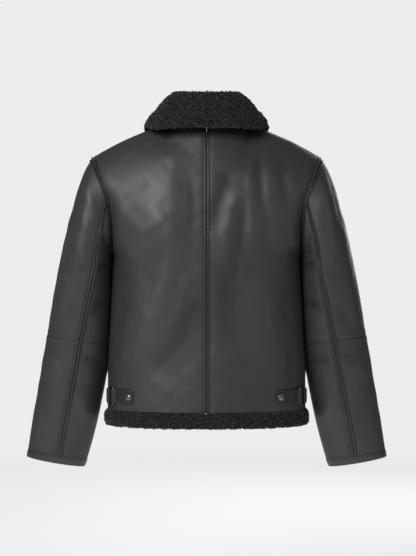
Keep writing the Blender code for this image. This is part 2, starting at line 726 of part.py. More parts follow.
def collar_middle(stations, rows):
    """Middle surface of the collar's left half, from the neckline (row 0) to the edge (row 1)."""
    table = np.array(COLLAR_STATIONS)
    path = smooth(table[:, 0], table[:, 1:], stations)
    fold, edge = path[:, :3], path[:, 3:]
    back = stations <= 0.5
    turn = np.where(back, stations / 0.5, (1 - stations) / 0.5)
    turn_front = NECK_START["front"] + turn * (1 - NECK_START["front"])
    neck = np.where(back[:, None], neckline("back", turn), neckline("front", turn_front))
    away = edge - fold
    away[:, 2] = 0
    away = unit(away)
    up = np.array([0, 0, 1.0])
    foot = neck - away * COLLAR_STAND_WALL / 2 + up * (COLLAR_SEAT + 0.001)
    stand = foot + 0.55 * (fold - foot) - 0.002 * away
    roll_in = fold - away * COLLAR_ROLL - up * 0.0055
    roll_out = fold + away * (COLLAR_ROLL + 0.0005) - up * 0.0055
    middle = (fold + edge) / 2 + 0.004 * away + 0.003 * up
    lines = np.stack([foot, stand, roll_in, fold, roll_out, middle, edge])
    knots = np.array([0, 0.22, 0.38, 0.46, 0.54, 0.76, 1.0])
    return np.swapaxes(smooth(knots, lines, rows), 0, 1), neck, away


def build_collar():
    half = np.linspace(0, 1, 2 * NECK_COLUMNS + 1)
    rows = np.concatenate([[0, 0.12, 0.24, 0.34], np.linspace(0.40, 0.52, 4), np.linspace(0.58, 1.0, COLLAR_ROWS - 8)])
    middle, neck, away = collar_middle(half, rows)
    step = 0.002
    along = collar_middle(np.clip(half + step, 0, 1), rows)[0] - collar_middle(np.clip(half - step, 0, 1), rows)[0]
    across = (collar_middle(half, np.clip(rows + step, 0, 1))[0]
              - collar_middle(half, np.clip(rows - step, 0, 1))[0])
    normals = unit(np.cross(across, along))
    normals[0, :, 0] = 0
    normals = unit(normals)
    wall = np.interp(rows, [0, 0.4, 0.6, 0.93, 1], [COLLAR_STAND_WALL, 0.009, COLLAR_FALL_WALL,
                                                    COLLAR_FALL_WALL, 0.006])[None, :, None]
    outer = middle + normals * wall / 2
    inner = middle - normals * wall / 2
    lift = np.array([0, 0, COLLAR_SEAT])
    facing_in = inner[:, 0] - outer[:, 0]
    out_first = np.sum(facing_in * away, axis=-1, keepdims=True) < 0
    flat_in = -away * COLLAR_STAND_WALL
    outer[:, 0] = np.where(out_first, neck + lift, neck + lift + flat_in)
    inner[:, 0] = np.where(out_first, neck + lift + flat_in, neck + lift)
    skins = []
    for skin in (outer, inner):
        right = mirrored(skin[1:][::-1], -1)
        skins.append(np.concatenate([right, skin]))
    add_wall("collar", skins[0], skins[1], "fur")


# Hem band

def hem_line(count):
    """Outer points and outward directions of the hem, from the left front edge round the back."""
    u = np.linspace(0, 1, count + 1)
    v = np.array([-1.0])
    front = torso("front", v, u)[0]
    front_n = torso_normals("front", v, u)[0]
    back = torso("back", v, u)[0]
    back_n = torso_normals("back", v, u)[0]
    share = (ZIP_OPENING_HALF - front[0, 0]) / (front[1, 0] - front[0, 0])
    front[0] += share * (front[1] - front[0])
    left = np.concatenate([front, back[::-1][1:]])
    left_n = np.concatenate([front_n, back_n[::-1][1:]])
    points = np.concatenate([left, mirrored(left[::-1][1:], -1)])
    normals = np.concatenate([left_n, mirrored(left_n[::-1][1:], -1)])
    normals[:, 2] = 0
    return points, unit(normals)


def build_hem_band():
    points, normals = hem_line(HEM_BAND_STATIONS)
    height = HEM_BAND_TOP - HEM_BAND_BOTTOM
    # Outer profile from top to bottom: how far out, share of the height
    profile = ((0.0015, 0.0), (0.0066, 0.10), (HEM_BAND_PROUD, 0.36), (HEM_BAND_PROUD, 0.64),
               (0.0060, 0.90), (0.0010, 1.0))
    outer = np.stack([points + normals * out - np.array([0, 0, share * height])
                      for out, share in profile], axis=1)
    inner = np.stack([points - normals * WALL - np.array([0, 0, share * height])
                      for _, share in profile], axis=1)
    drop = HEM_BAND_TOP - points[0, 2]
    outer[..., 2] += drop
    inner[..., 2] += drop
    ends = (0, -1)
    for end in ends:
        outer[end, :, 0] = outer[end, 2, 0]
        inner[end, :, 0] = outer[end, 2, 0]
    add_wall("hem_band", outer, inner, "fur")


# Zip

def front_profile(z):
    """y of the front's outer surface at the centre, for heights z."""
    v = np.linspace(-1, 1, 401)
    line = torso("front", v, np.array([0.0]))[:, 0]
    return np.interp(z, line[:, 2], line[:, 1])


def build_zip():
    z = np.concatenate([np.linspace(ZIP_BOTTOM, -0.30, 12), np.linspace(-0.28, ZIP_TOP, 10)])
    y = front_profile(np.maximum(z, HEM_BAND_TOP))
    for side, side_sign in SIDES:
        x = np.array([TAPE_INNER_X, TAPE_OUTER_X])
        lean = np.array([0.0, 0.0016])
        front = np.stack([np.broadcast_to(x, (len(z), 2)), y[:, None] + TAPE_SINK + lean + 0.0002,
                          np.broadcast_to(z[:, None], (len(z), 2))], axis=-1)
        back = front + np.array([0, TAPE_THICK, 0])
        add_wall("zip_tape_" + side, mirrored(front, side_sign), mirrored(back, side_sign), "tape")
    rows = z < SLIDER_Z - SLIDER_HALF[2] - SEAM_GAP
    z_chain = np.append(z[rows], SLIDER_Z - SLIDER_HALF[2] - SEAM_GAP)
    y_chain = front_profile(np.maximum(z_chain, HEM_BAND_TOP))
    x = np.array([-CHAIN_HALF_WIDTH, CHAIN_HALF_WIDTH])
    front = np.stack([np.broadcast_to(x, (len(z_chain), 2)),
                      np.broadcast_to(y_chain[:, None] + CHAIN_FRONT_SINK, (len(z_chain), 2)),
                      np.broadcast_to(z_chain[:, None], (len(z_chain), 2))], axis=-1)
    back = front + np.array([0, CHAIN_BACK_SINK - CHAIN_FRONT_SINK, 0])
    add_wall("zip_chain", front, back, "metal")


def box_mesh(name, size, bevel):
    bm = bmesh.new()
    bmesh.ops.create_cube(bm, size=1, matrix=Matrix.Diagonal((*size, 1)))
    bmesh.ops.bevel(bm, geom=bm.edges[:], offset=bevel, segments=2, profile=0.5, affect="EDGES", material=-1)
    mesh = bpy.data.meshes.new(name)
    bm.to_mesh(mesh)
    bm.free()
    return mesh


def flat_outline(name, rings, half_thick):
    """A flat plate in the XY plane from closed rings of points, the first one its outline."""
    curve = bpy.data.curves.new(name, "CURVE")
    curve.dimensions = "2D"
    curve.fill_mode = "BOTH"
    curve.extrude = half_thick
    for ring in rings:
        spline = curve.splines.new("POLY")
        spline.points.add(len(ring) - 1)
        for point, (x, y) in zip(spline.points, ring):
            point.co = (x, y, 0, 1)
        spline.use_cyclic_u = True
    shape = bpy.data.objects.new(name + "_outline", curve)
    jacket.objects.link(shape)
    bpy.context.view_layer.update()
    mesh = bpy.data.meshes.new_from_object(shape.evaluated_get(bpy.context.evaluated_depsgraph_get()))
    bpy.data.objects.remove(shape, do_unlink=True)
    bm = bmesh.new()
    bm.from_mesh(mesh)
    bmesh.ops.remove_doubles(bm, verts=bm.verts[:], dist=1e-6)
    bmesh.ops.recalc_face_normals(bm, faces=bm.faces[:])
    return bm


def rectangle(half_x, low_y, high_y, corner=0.0):
    if not corner:
        return [(-half_x, low_y), (half_x, low_y), (half_x, high_y), (-half_x, high_y)]
    ring = []
    centres = ((half_x - corner, high_y - corner), (-half_x + corner, high_y - corner),
               (-half_x + corner, low_y + corner), (half_x - corner, low_y + corner))
    for quarter, (x, y) in enumerate(centres):
        for step in range(4):
            turn = math.radians(90 * quarter + 30 * step)
            ring.append((x + corner * math.cos(turn), y + corner * math.sin(turn)))
    return ring


def build_slider_and_pull():
    """The slider lies against the sloping tapes; its bridge and the hanging pull are upright."""
    half_x, half_y, half_z = SLIDER_HALF
    face = float(front_profile(SLIDER_Z)) + TAPE_SINK - 2 * SEAM_GAP - 2 * half_y
    ends = front_profile(np.array([SLIDER_Z - half_z, SLIDER_Z + half_z]))
    lean = math.atan2(ends[1] - ends[0], 2 * half_z)
    axis_y = face - PULL_AXIS_OUT
    axis_z = SLIDER_Z + 0.002
    mesh = box_mesh("zip_slider", (2 * half_x, 2 * half_y, 2 * half_z), 0.0012)
    mesh.transform(Matrix.Translation((0, face + half_y, SLIDER_Z)) @ Matrix.Rotation(-lean, 4, "X"))
    body = bpy.data.objects.new("zip_slider", mesh)
    body.data.materials.append(own_material("zip_slider", "metal"))
    jacket.objects.link(body)
    # The bridge is a small staple that the pull's bar passes under
    depth_in = PULL_AXIS_OUT + 0.001
    depth_out = BRIDGE_HALF_HEIGHT
    outside = [(-depth_in, -BRIDGE_HALF_HEIGHT), (depth_out, -BRIDGE_HALF_HEIGHT),
               (depth_out, BRIDGE_HALF_HEIGHT), (-depth_in, BRIDGE_HALF_HEIGHT)]
    hole = [(-PULL_AXIS_OUT + 0.0012, -BRIDGE_HALF_HEIGHT + BRIDGE_THICK),
            (depth_out - BRIDGE_THICK, -BRIDGE_HALF_HEIGHT + BRIDGE_THICK),
            (depth_out - BRIDGE_THICK, BRIDGE_HALF_HEIGHT - BRIDGE_THICK),
            (-PULL_AXIS_OUT + 0.0012, BRIDGE_HALF_HEIGHT - BRIDGE_THICK)]
    bm = flat_outline("bridge", (outside, hole), BRIDGE_HALF_WIDTH)
    # The outline's X becomes -Y, its Y becomes Z, and its thickness runs along X
    turn = Matrix(((0, 0, 1, 0), (-1, 0, 0, axis_y), (0, 1, 0, axis_z), (0, 0, 0, 1)))
    bmesh.ops.transform(bm, matrix=turn, verts=bm.verts[:])
    bmesh.ops.recalc_face_normals(bm, faces=bm.faces[:])
    mesh = bpy.data.meshes.new("bridge")
    bm.to_mesh(mesh)
    bm.free()
    bridge = bpy.data.objects.new("zip_bridge_union", mesh)
    bridge.hide_render = True
    bridge.display_type = "WIRE"
    cutters.objects.link(bridge)
    union = body.modifiers.new("bridge", "BOOLEAN")
    union.operation = "UNION"
    union.solver = "EXACT"
    union.object = bridge
    # The pull's plate hangs from its bar, whose middle is the hinge axis
    slot_half, slot_length = PULL_SLOT
    outline = rectangle(PULL_HALF_WIDTH, -PULL_LENGTH, PULL_HALF_THICK, 0.0014)
    slot = rectangle(slot_half, -PULL_HALF_THICK - slot_length, -PULL_HALF_THICK)
    bm = flat_outline("zip_pull", (outline, slot), PULL_HALF_THICK)
    bmesh.ops.transform(bm, matrix=Matrix.Rotation(math.radians(90), 4, "X"), verts=bm.verts[:])
    pull = add_mesh("zip_pull", bm, "metal")
    pull.location = (0, axis_y, axis_z)


# Waist tabs

def hem_section():
    """Dense outer line of the back and front at the tab's height, from the centre back round the
    left side to the centre front, as lengths, points and outward directions."""
    v = np.array([np.interp(TAB_Z, [TORSO_ROWS[0][0], TORSO_ROWS[-1][0]], [-1, 0])])
    u = np.linspace(0, 1, 201)
    back, front = torso("back", v, u)[0], torso("front", v, u)[0]
    line = np.concatenate([back, front[::-1][1:]])
    line[:, 2] = TAB_Z
    tangents = np.gradient(line, axis=0)
    tangents[:, 2] = 0
    tangents = unit(tangents)
    normals = np.stack([-tangents[:, 1], tangents[:, 0], 0 * tangents[:, 0]], axis=-1)
    length = np.concatenate([[0], np.cumsum(np.linalg.norm(np.diff(line, axis=0), axis=1))])
    return length, line, normals


def section_at(section, s):
    length, line, normals = section
    point = np.array([np.interp(s, length, line[:, k]) for k in range(3)])
    normal = unit(np.array([np.interp(s, length, normals[:, k]) for k in range(3)]))
    return point, normal


def tab_outline(section, bar_s, tip_s):
    """Outline of a strap seen from above, round its ring's bar and then flat on the cloth to the tip."""
    bar_point, bar_normal = section_at(section, bar_s)
    radius_in = RING_WIRE + LOOP_CLEARANCE
    radius_out = radius_in + TAB_THICK
    centre_out = TAB_LIFT + radius_out
    centre = bar_point + bar_normal * centre_out
    ahead = 1 if tip_s > bar_s else -1
    tangent = np.array([bar_normal[1], -bar_normal[0], 0]) * ahead
    steps = np.linspace(bar_s, tip_s, 9)
    inner_line, outer_line = [], []
    for i, s in enumerate(steps):
        point, normal = section_at(section, s)
        inner_line.append(point + normal * TAB_LIFT)
        if i > 1:
            outer_line.append(point + normal * (TAB_LIFT + TAB_THICK))
    turns = np.radians(np.arange(-90, -316, -25))
    loop = [centre + radius_out * (math.cos(a) * tangent + math.sin(a) * bar_normal) for a in turns]
    outline = loop[1:] + outer_line + inner_line[::-1]
    hole_turns = np.radians(np.arange(0, 360, 30))
    hole = [centre + radius_in * (math.cos(a) * tangent + math.sin(a) * bar_normal) for a in hole_turns]
    return [tuple(p[:2]) for p in outline], [tuple(p[:2]) for p in hole], centre


def build_tab(side, side_sign):
    section = hem_section()
    length, line, _ = section
    on_back = line[:, 1] >= 0
    centre_s = float(np.interp(RING_CENTRE_X, line[on_back, 0], length[on_back]))
    tip_s = float(np.interp(TAB_TIP_X[side], line[on_back, 0], length[on_back]))
    bars = []
    for name, bar_s, end_s in (
            ("tab_strap_", centre_s - RING_BAR_SPACING / 2, tip_s),
            ("tab_anchor_", centre_s + RING_BAR_SPACING / 2, centre_s + RING_BAR_SPACING / 2 + ANCHOR_LENGTH)):
        outline, hole, centre = tab_outline(section, bar_s, end_s)
        bm = flat_outline(name + side, (outline, hole), TAB_HEIGHT / 2)
        bmesh.ops.translate(bm, verts=bm.verts[:], vec=(0, 0, TAB_Z))
        bmesh.ops.scale(bm, verts=bm.verts[:], vec=(side_sign, 1, 1))
        bmesh.ops.recalc_face_normals(bm, faces=bm.faces[:])
        add_mesh(name + side, bm, "leather")
        bars.append(centre)
    build_ring(side, side_sign, bars)
    build_snap(side, side_sign, section, tip_s)


def build_ring(side, side_sign, bars):
    """A closed rectangular ring of round wire with its upright bars through the two loops."""
    middle = (bars[0] + bars[1]) / 2
    across = bars[1] - bars[0]
    half_width = np.linalg.norm(across) / 2
    across = across / (2 * half_width)
    ring = rectangle(half_width, -RING_HEIGHT / 2, RING_HEIGHT / 2, RING_CORNER)
    curve = bpy.data.curves.new("tab_ring", "CURVE")
    curve.dimensions = "3D"
    curve.bevel_depth = RING_WIRE
    curve.bevel_resolution = 2
    spline = curve.splines.new("POLY")
    spline.points.add(len(ring) - 1)
    for point, (a, b) in zip(spline.points, ring):
        place = middle + a * across
        point.co = (side_sign * place[0], place[1], TAB_Z + b, 1)
    spline.use_cyclic_u = True
    curve.materials.append(own_material("tab_ring_" + side, "metal"))
    made = bpy.data.objects.new("tab_ring_" + side, curve)
    jacket.objects.link(made)


def build_snap(side, side_sign, section, tip_s):
    point, normal = section_at(section, tip_s + SNAP_FROM_TIP)
    bm = bmesh.new()
    bmesh.ops.create_cone(bm, cap_ends=True, segments=24, radius1=SNAP_RADIUS, radius2=SNAP_RADIUS * 0.82,
                          depth=SNAP_HEIGHT)
    place = point + normal * (TAB_LIFT + TAB_THICK + 2 * SEAM_GAP + SNAP_HEIGHT / 2)
    place[0] *= side_sign
    direction = Vector((side_sign * normal[0], normal[1], 0))
    turn = direction.to_track_quat("Z", "Y").to_matrix().to_4x4()
    bmesh.ops.transform(bm, matrix=Matrix.Translation(Vector(place)) @ turn, verts=bm.verts[:])
    add_mesh("tab_snap_" + side, bm, "metal", math.radians(30))


# Building the jacket

back_panels = [build_panel("back", side, side_sign) for side, side_sign in SIDES]
for side, side_sign in SIDES:
    build_panel("front", side, side_sign)
    for part in ("top", "under"):
        for level in ("upper", "lower"):
            build_sleeve_panel(part, level, side, side_sign)
    build_cuff(side, side_sign)
    build_sleeve_strip(side, side_sign)
    build_armhole_strip(side, side_sign)
    build_tab(side, side_sign)
build_centre_back_strip(back_panels)
build_collar()
build_hem_band()
build_zip()
build_slider_and_pull()
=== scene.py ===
import math

import bmesh
import bpy
import numpy as np
from mathutils import Matrix, Vector, noise


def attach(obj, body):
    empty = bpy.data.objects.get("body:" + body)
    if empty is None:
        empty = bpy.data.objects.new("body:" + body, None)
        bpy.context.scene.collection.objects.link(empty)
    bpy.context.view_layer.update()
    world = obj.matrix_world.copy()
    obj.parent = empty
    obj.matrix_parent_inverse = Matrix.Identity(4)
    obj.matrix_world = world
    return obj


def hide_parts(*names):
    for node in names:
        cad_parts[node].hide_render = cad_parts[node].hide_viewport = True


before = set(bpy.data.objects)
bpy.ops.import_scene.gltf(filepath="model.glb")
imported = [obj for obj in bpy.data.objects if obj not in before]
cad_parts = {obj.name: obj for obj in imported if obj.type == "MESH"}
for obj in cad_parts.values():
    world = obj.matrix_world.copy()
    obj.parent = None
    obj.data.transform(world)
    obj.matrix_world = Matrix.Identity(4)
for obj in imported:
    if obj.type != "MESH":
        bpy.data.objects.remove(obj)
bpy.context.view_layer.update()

# Shearling jacket seen from behind. Metres, +Z up, the back faces +Y, the wearer's left is +X.

# Cloth and seams
WALL = 0.005
LEATHER_WALL = 0.0044
SEAM_GAP = 0.0003
ARMHOLE_GAP = 0.0004

# Neck and shoulders
NECK_HALF_WIDTH = 0.080
NECK_BACK_DEPTH = 0.068
NECK_BACK_DROP = 0.012
NECK_FRONT_DEPTH = 0.104
NECK_FRONT_DROP = 0.088
NECK_FRONT_POWER = 1.3
NECK_SHARE = 0.375
SHOULDER_LENGTH = 0.1675
SHOULDER_SLOPE = 0.354
SHOULDER_BEND = 0.574
SHOULDER_ROUND = 0.004
SECTION_POWER = 0.86
YOKE_BLEND = 0.26           # share of the height over which the yoke runs into the body

# Armhole
ARMHOLE_Z = -0.185
ARMHOLE_UP = 0.1078
ARMHOLE_DOWN = 0.105
ARMHOLE_BACK = 0.088
ARMHOLE_FRONT = 0.085
ARMHOLE_LEAN = (
    # z, x
    (-0.2900, 0.2050),
    (-0.2200, 0.2060),
    (-0.1760, 0.2105),
    (-0.1250, 0.2285),
    (-0.0772, 0.2475),
)

# Torso sections from the hem up to the armpit, then by the angle on the armhole
TORSO_ROWS = (
    # z, half_width, back_depth, front_depth
    (-0.6290, 0.2175, 0.1300, 0.1340),
    (-0.5500, 0.2165, 0.1270, 0.1350),
    (-0.4700, 0.2125, 0.1240, 0.1360),
    (-0.3800, 0.2085, 0.1250, 0.1380),
    (-0.2900, 0.2050, 0.1300, 0.1400),
)
YOKE_ROWS = (
    # armhole_deg, back_z, back_depth, front_z, front_depth, wrap_deg, shoulder_share
    (-60.0, -0.2620, 0.1310, -0.2680, 0.1400, 88.0, 0.00),
    (-30.0, -0.2150, 0.1290, -0.2320, 0.1390, 80.0, 0.00),
    (0.0, -0.1600, 0.1220, -0.1900, 0.1345, 68.0, 0.00),
    (25.0, -0.1100, 0.1100, -0.1550, 0.1275, 58.0, 0.04),
    (50.0, -0.0650, 0.0940, -0.1220, 0.1190, 49.0, 0.22),
    (72.0, -0.0330, 0.0790, -0.1020, 0.1110, 44.0, 0.58),
    (90.0, -0.0120, 0.0680, -0.0880, 0.1040, 42.0, 1.00),
)

# Sleeve sections, each between its outer and its inner edge as seen from behind
SLEEVE_RINGS = (
    # outer_x, outer_z, inner_x, inner_z, half_depth, centre_y, back_seam_deg
    (0.2640, -0.1010, 0.2080, -0.2965, 0.0900, 0.000, 109.0),
    (0.2798, -0.1400, 0.2082, -0.3020, 0.0910, 0.000, 110.5),
    (0.2928, -0.1850, 0.2084, -0.3080, 0.0900, 0.000, 111.5),
    (0.3060, -0.2330, 0.2086, -0.3150, 0.0880, -0.001, 113.0),
    (0.3190, -0.2900, 0.2092, -0.3260, 0.0850, -0.002, 116.0),
    (0.3305, -0.3480, 0.2104, -0.3760, 0.0780, -0.004, 109.0),
    (0.3412, -0.4050, 0.2122, -0.4310, 0.0700, -0.008, 102.0),
    (0.3520, -0.4690, 0.2150, -0.4906, 0.0640, -0.014, 96.5),
    (0.3632, -0.5250, 0.2198, -0.5470, 0.0590, -0.022, 94.0),
    (0.3742, -0.5900, 0.2318, -0.6120, 0.0540, -0.030, 93.0),
    (0.3865, -0.6560, 0.2468, -0.6780, 0.0490, -0.037, 93.0),
    (0.3970, -0.7220, 0.2652, -0.7430, 0.0425, -0.043, 95.0),
    (0.4000, -0.7400, 0.2724, -0.7620, 0.0400, -0.045, 95.0),
)
ARMHOLE_SEAM_DEG = 82.0
FRONT_SEAM_DEG = 88.0
ELBOW_RING = 8
CUFF_RING = 12
CUFF_END_RING = 13
SLEEVE_MEAN_RADIUS = 0.066
SLEEVE_RING_LENGTH = 0.052

# Folds of the body: height (negative for a trough), width to the +X side and to the -X side of the
# line, then the line's points (x, z) downwards. The first table of each face is also in the solids.
BACK_FOLDS = (
    (0.0070, 0.060, 0.030, (0.077, -0.040), (0.081, -0.103), (0.081, -0.178),
     (0.079, -0.252), (0.079, -0.309)),
    (0.0045, 0.017, 0.028, (0.081, -0.188), (0.083, -0.263), (0.085, -0.316), (0.100, -0.373),
     (0.119, -0.428), (0.138, -0.485), (0.153, -0.543)),
    (0.0045, 0.028, 0.024, (0.081, -0.203), (0.115, -0.233), (0.153, -0.269), (0.183, -0.309)),
    (-0.0060, 0.026, 0.046, (0.000, -0.364), (0.028, -0.428), (0.055, -0.485),
     (0.092, -0.534), (0.136, -0.585)),
    (0.0030, 0.028, 0.014, (0.125, -0.358), (0.138, -0.422), (0.151, -0.475), (0.164, -0.543)),
    (-0.0042, 0.018, 0.020, (-0.053, -0.103), (-0.040, -0.152), (-0.023, -0.203), (-0.008, -0.263)),
    (0.0042, 0.021, 0.020, (-0.072, -0.131), (-0.057, -0.205), (-0.044, -0.263), (-0.025, -0.326)),
    (-0.0042, 0.020, 0.018, (-0.082, -0.157), (-0.074, -0.237), (-0.063, -0.301), (-0.053, -0.369)),
    (0.0036, 0.016, 0.017, (-0.095, -0.089), (-0.095, -0.178), (-0.099, -0.246), (-0.108, -0.337)),
    (-0.0028, 0.012, 0.014, (-0.116, -0.067), (-0.114, -0.135), (-0.118, -0.210)),
    (0.0034, 0.016, 0.022, (-0.135, -0.076), (-0.135, -0.157), (-0.146, -0.220), (-0.159, -0.301)),
    (-0.0040, 0.026, 0.030, (-0.038, -0.309), (-0.048, -0.381), (-0.053, -0.443), (-0.046, -0.521)),
    (0.0034, 0.024, 0.028, (-0.099, -0.309), (-0.104, -0.390), (-0.110, -0.464), (-0.127, -0.549)),
)
BACK_FINE_FOLDS = (
    (-0.0016, 0.012, 0.014, (0.128, -0.131), (0.149, -0.157), (0.181, -0.193)),
    (-0.0016, 0.010, 0.012, (0.009, -0.577), (0.034, -0.598), (0.072, -0.627)),
    (-0.0016, 0.011, 0.013, (-0.159, -0.097), (-0.163, -0.146), (-0.174, -0.203)),
    (0.0018, 0.012, 0.012, (-0.182, -0.103), (-0.188, -0.146), (-0.197, -0.210)),
    (-0.0012, 0.011, 0.010, (-0.012, -0.428), (-0.010, -0.470), (-0.004, -0.521)),
    (-0.0022, 0.010, 0.012, (-0.188, -0.475), (-0.182, -0.521), (-0.178, -0.598)),
    (-0.0014, 0.012, 0.014, (0.181, -0.309), (0.179, -0.390), (0.187, -0.485)),
    (0.0014, 0.011, 0.011, (0.168, -0.390), (0.172, -0.464), (0.185, -0.560)),
    (-0.0014, 0.012, 0.012, (-0.163, -0.309), (-0.169, -0.390), (-0.182, -0.464)),
    (-0.0012, 0.010, 0.012, (0.034, -0.118), (0.028, -0.188), (0.032, -0.263)),
    (0.0012, 0.012, 0.012, (-0.131, -0.369), (-0.140, -0.443), (-0.159, -0.521)),
    (0.0012, 0.012, 0.014, (0.043, -0.326), (0.047, -0.373), (0.060, -0.424)),
)
FRONT_FOLDS = (
    (0.0050, 0.030, 0.024, (0.124, -0.110), (0.112, -0.200), (0.098, -0.330)),
    (-0.0045, 0.018, 0.020, (0.160, -0.225), (0.120, -0.300), (0.088, -0.410)),
    (0.0040, 0.020, 0.024, (0.080, -0.310), (0.105, -0.420), (0.134, -0.550)),
    (-0.0035, 0.016, 0.018, (0.056, -0.400), (0.070, -0.490), (0.090, -0.580)),
    (0.0048, 0.024, 0.030, (-0.118, -0.110), (-0.108, -0.200), (-0.100, -0.320)),
    (-0.0044, 0.020, 0.017, (-0.158, -0.240), (-0.118, -0.320), (-0.084, -0.430)),
    (0.0038, 0.024, 0.020, (-0.074, -0.330), (-0.100, -0.430), (-0.130, -0.550)),
    (-0.0032, 0.018, 0.016, (-0.050, -0.420), (-0.070, -0.500), (-0.095, -0.580)),
)
FRONT_FINE_FOLDS = (
    (0.0014, 0.010, 0.012, (0.158, -0.140), (0.168, -0.190), (0.178, -0.240)),
    (-0.0014, 0.012, 0.010, (0.028, -0.240), (0.034, -0.320), (0.038, -0.400)),
    (-0.0016, 0.010, 0.012, (0.146, -0.410), (0.160, -0.490), (0.174, -0.570)),
    (0.0013, 0.012, 0.010, (-0.160, -0.150), (-0.168, -0.200), (-0.176, -0.245)),
    (-0.0014, 0.010, 0.012, (-0.032, -0.260), (-0.038, -0.340), (-0.044, -0.420)),
    (-0.0015, 0.012, 0.010, (-0.148, -0.420), (-0.160, -0.500), (-0.172, -0.580)),
)
SLEEVE_FOLDS = (
    # deg_start, ring_start, deg_end, ring_end, half_width, height
    (60.0, 1.5, 75.0, 4.5, 0.020, 0.0040),
    (150.0, 4.6, 95.0, 5.4, 0.014, -0.0040),
    (160.0, 6.4, 70.0, 7.2, 0.014, -0.0035),
    (45.0, 4.0, 50.0, 7.0, 0.018, 0.0030),
    (150.0, 8.8, 80.0, 8.5, 0.013, -0.0035),
    (60.0, 9.2, 125.0, 10.4, 0.015, 0.0030),
    (-60.0, 2.0, -70.0, 5.0, 0.020, 0.0035),
    (-150.0, 5.2, -85.0, 5.9, 0.014, -0.0040),
    (-160.0, 7.2, -75.0, 7.7, 0.014, -0.0040),
    (-150.0, 8.7, -70.0, 8.9, 0.013, -0.0035),
    (-55.0, 9.4, -120.0, 10.8, 0.015, 0.0030),
)
SLEEVE_FINE_FOLDS = (
    # deg_start, ring_start, deg_end, ring_end, half_width, height
    (30.0, 1.0, 40.0, 3.5, 0.010, -0.0012),
    (20.0, 5.0, 60.0, 5.6, 0.009, -0.0010),
    (30.0, 7.6, 60.0, 7.3, 0.008, 0.0010),
    (35.0, 8.4, 65.0, 8.9, 0.008, -0.0010),
    (25.0, 10.0, 60.0, 10.8, 0.009, -0.0010),
    (140.0, 2.2, 128.0, 3.4, 0.008, -0.0018),
    (-30.0, 1.4, -38.0, 4.0, 0.010, -0.0012),
    (-25.0, 6.0, -60.0, 6.7, 0.009, -0.0010),
    (-30.0, 8.2, -62.0, 8.6, 0.008, 0.0010),
    (-28.0, 10.2, -58.0, 11.0, 0.009, -0.0010),
)
# Slight unevenness of the hide: direction, wave length and height of each low wave
HIDE_WAVES = (
    # x, y, z, length, height
    (0.9, 0.3, 0.3, 0.061, 0.00022),
    (-0.4, 0.5, 0.8, 0.047, 0.00020),
    (0.6, -0.4, 0.7, 0.033, 0.00012),
    (0.8, 0.4, -0.5, 0.026, 0.00008),
)
SEAM_DIP = 0.0013
SEAM_DIP_WIDTH = 0.0080
PUCKER_PITCH = 0.0135
PUCKER_HEIGHT = 0.00022
PUCKER_REACH = 0.016

# Strips over the seams: two stitched ridges with a groove between them
STRIP_HALF_WIDTH = 0.0065
STRIP_EDGE_HEIGHT = 0.0003
STRIP_RIDGE_HEIGHT = 0.0034
STRIP_GROOVE_HEIGHT = 0.0002
STRIP_COLUMNS = 15
PRESS_AIR = 0.0001          # the sleeve hangs this far from the body's side
PRESS_WIDTH = 0.030
VALLEY_DEPTH = 0.007        # both sides of the armhole sink towards it below the shoulder blade
VALLEY_WIDTH = 0.017
ARMHOLE_STRIP_START = 0.0010
ARMHOLE_UNDER_SHARE = 0.6
STITCH_PITCH = 0.0036
STITCH_HALF_LENGTH = 0.0014
STITCH_RADIUS = 0.00042
STITCH_OUT_SHARE = 0.80

# Collar
COLLAR_STAND_WALL = 0.009
COLLAR_FALL_WALL = 0.013
COLLAR_SEAT = 0.0005
COLLAR_STATIONS = (
    # station, fold_x, fold_y, fold_z, edge_x, edge_y, edge_z
    (0.00, 0.000, 0.0820, 0.0540, 0.000, 0.1040, -0.0210),
    (0.20, 0.042, 0.0730, 0.0550, 0.069, 0.0960, -0.0215),
    (0.36, 0.062, 0.0440, 0.0575, 0.115, 0.0620, -0.0215),
    (0.50, 0.069, 0.0020, 0.0600, 0.1335, 0.0120, -0.0120),
    (0.64, 0.070, -0.0420, 0.0450, 0.134, -0.0480, -0.0190),
    (0.82, 0.054, -0.0860, 0.0080, 0.119, -0.1060, -0.0560),
    (1.00, 0.018, -0.1160, -0.0400, 0.078, -0.1400, -0.1130),
)
COLLAR_ROLL = 0.0075
COLLAR_RIM = 0.79           # row of the soft groove above the rolled rim
COLLAR_GROOVE = 0.0022

# Hem band
HEM_BAND_TOP = -0.6293
HEM_BAND_BOTTOM = -0.6650
HEM_BAND_PROUD = 0.0080

# Pile
PILE_DEPTH = 0.0022         # the pile's backing lies this far under the solid's skin
CURL_PITCH = 0.0044
CURL_RADIUS = 0.0019
CURL_THICK = 0.0011
SEED = 11

# Zip
ZIP_OPENING_HALF = 0.011
TAPE_INNER_X = 0.0042
TAPE_OUTER_X = 0.0240
TAPE_THICK = 0.0012
TAPE_SINK = WALL + 2 * SEAM_GAP
CHAIN_SINK = 0.0044
ZIP_BOTTOM = -0.6640
ZIP_TOP = -0.1070
SLIDER_Z = -0.1210
TOOTH_PITCH = 0.0026

# Waist tabs
TAB_Z = -0.5990
TAB_HEIGHT = 0.0310
TAB_THICK = 0.0024
TAB_LIFT = 0.0006
RING_WIRE = 0.0018
RING_BAR_SPACING = 0.0180
RING_HEIGHT = 0.0360
RING_CENTRE_X = 0.2030
LOOP_CLEARANCE = 0.0006
TAB_TIP_X = {"left": 0.1570, "right": 0.1490}
ANCHOR_LENGTH = 0.0340
SNAP_FROM_TIP = 0.0110

SIDES = (("left", 1), ("right", -1))
EPS = 1e-4
scene = bpy.context.scene


# Curves and surfaces, the same as the solids'

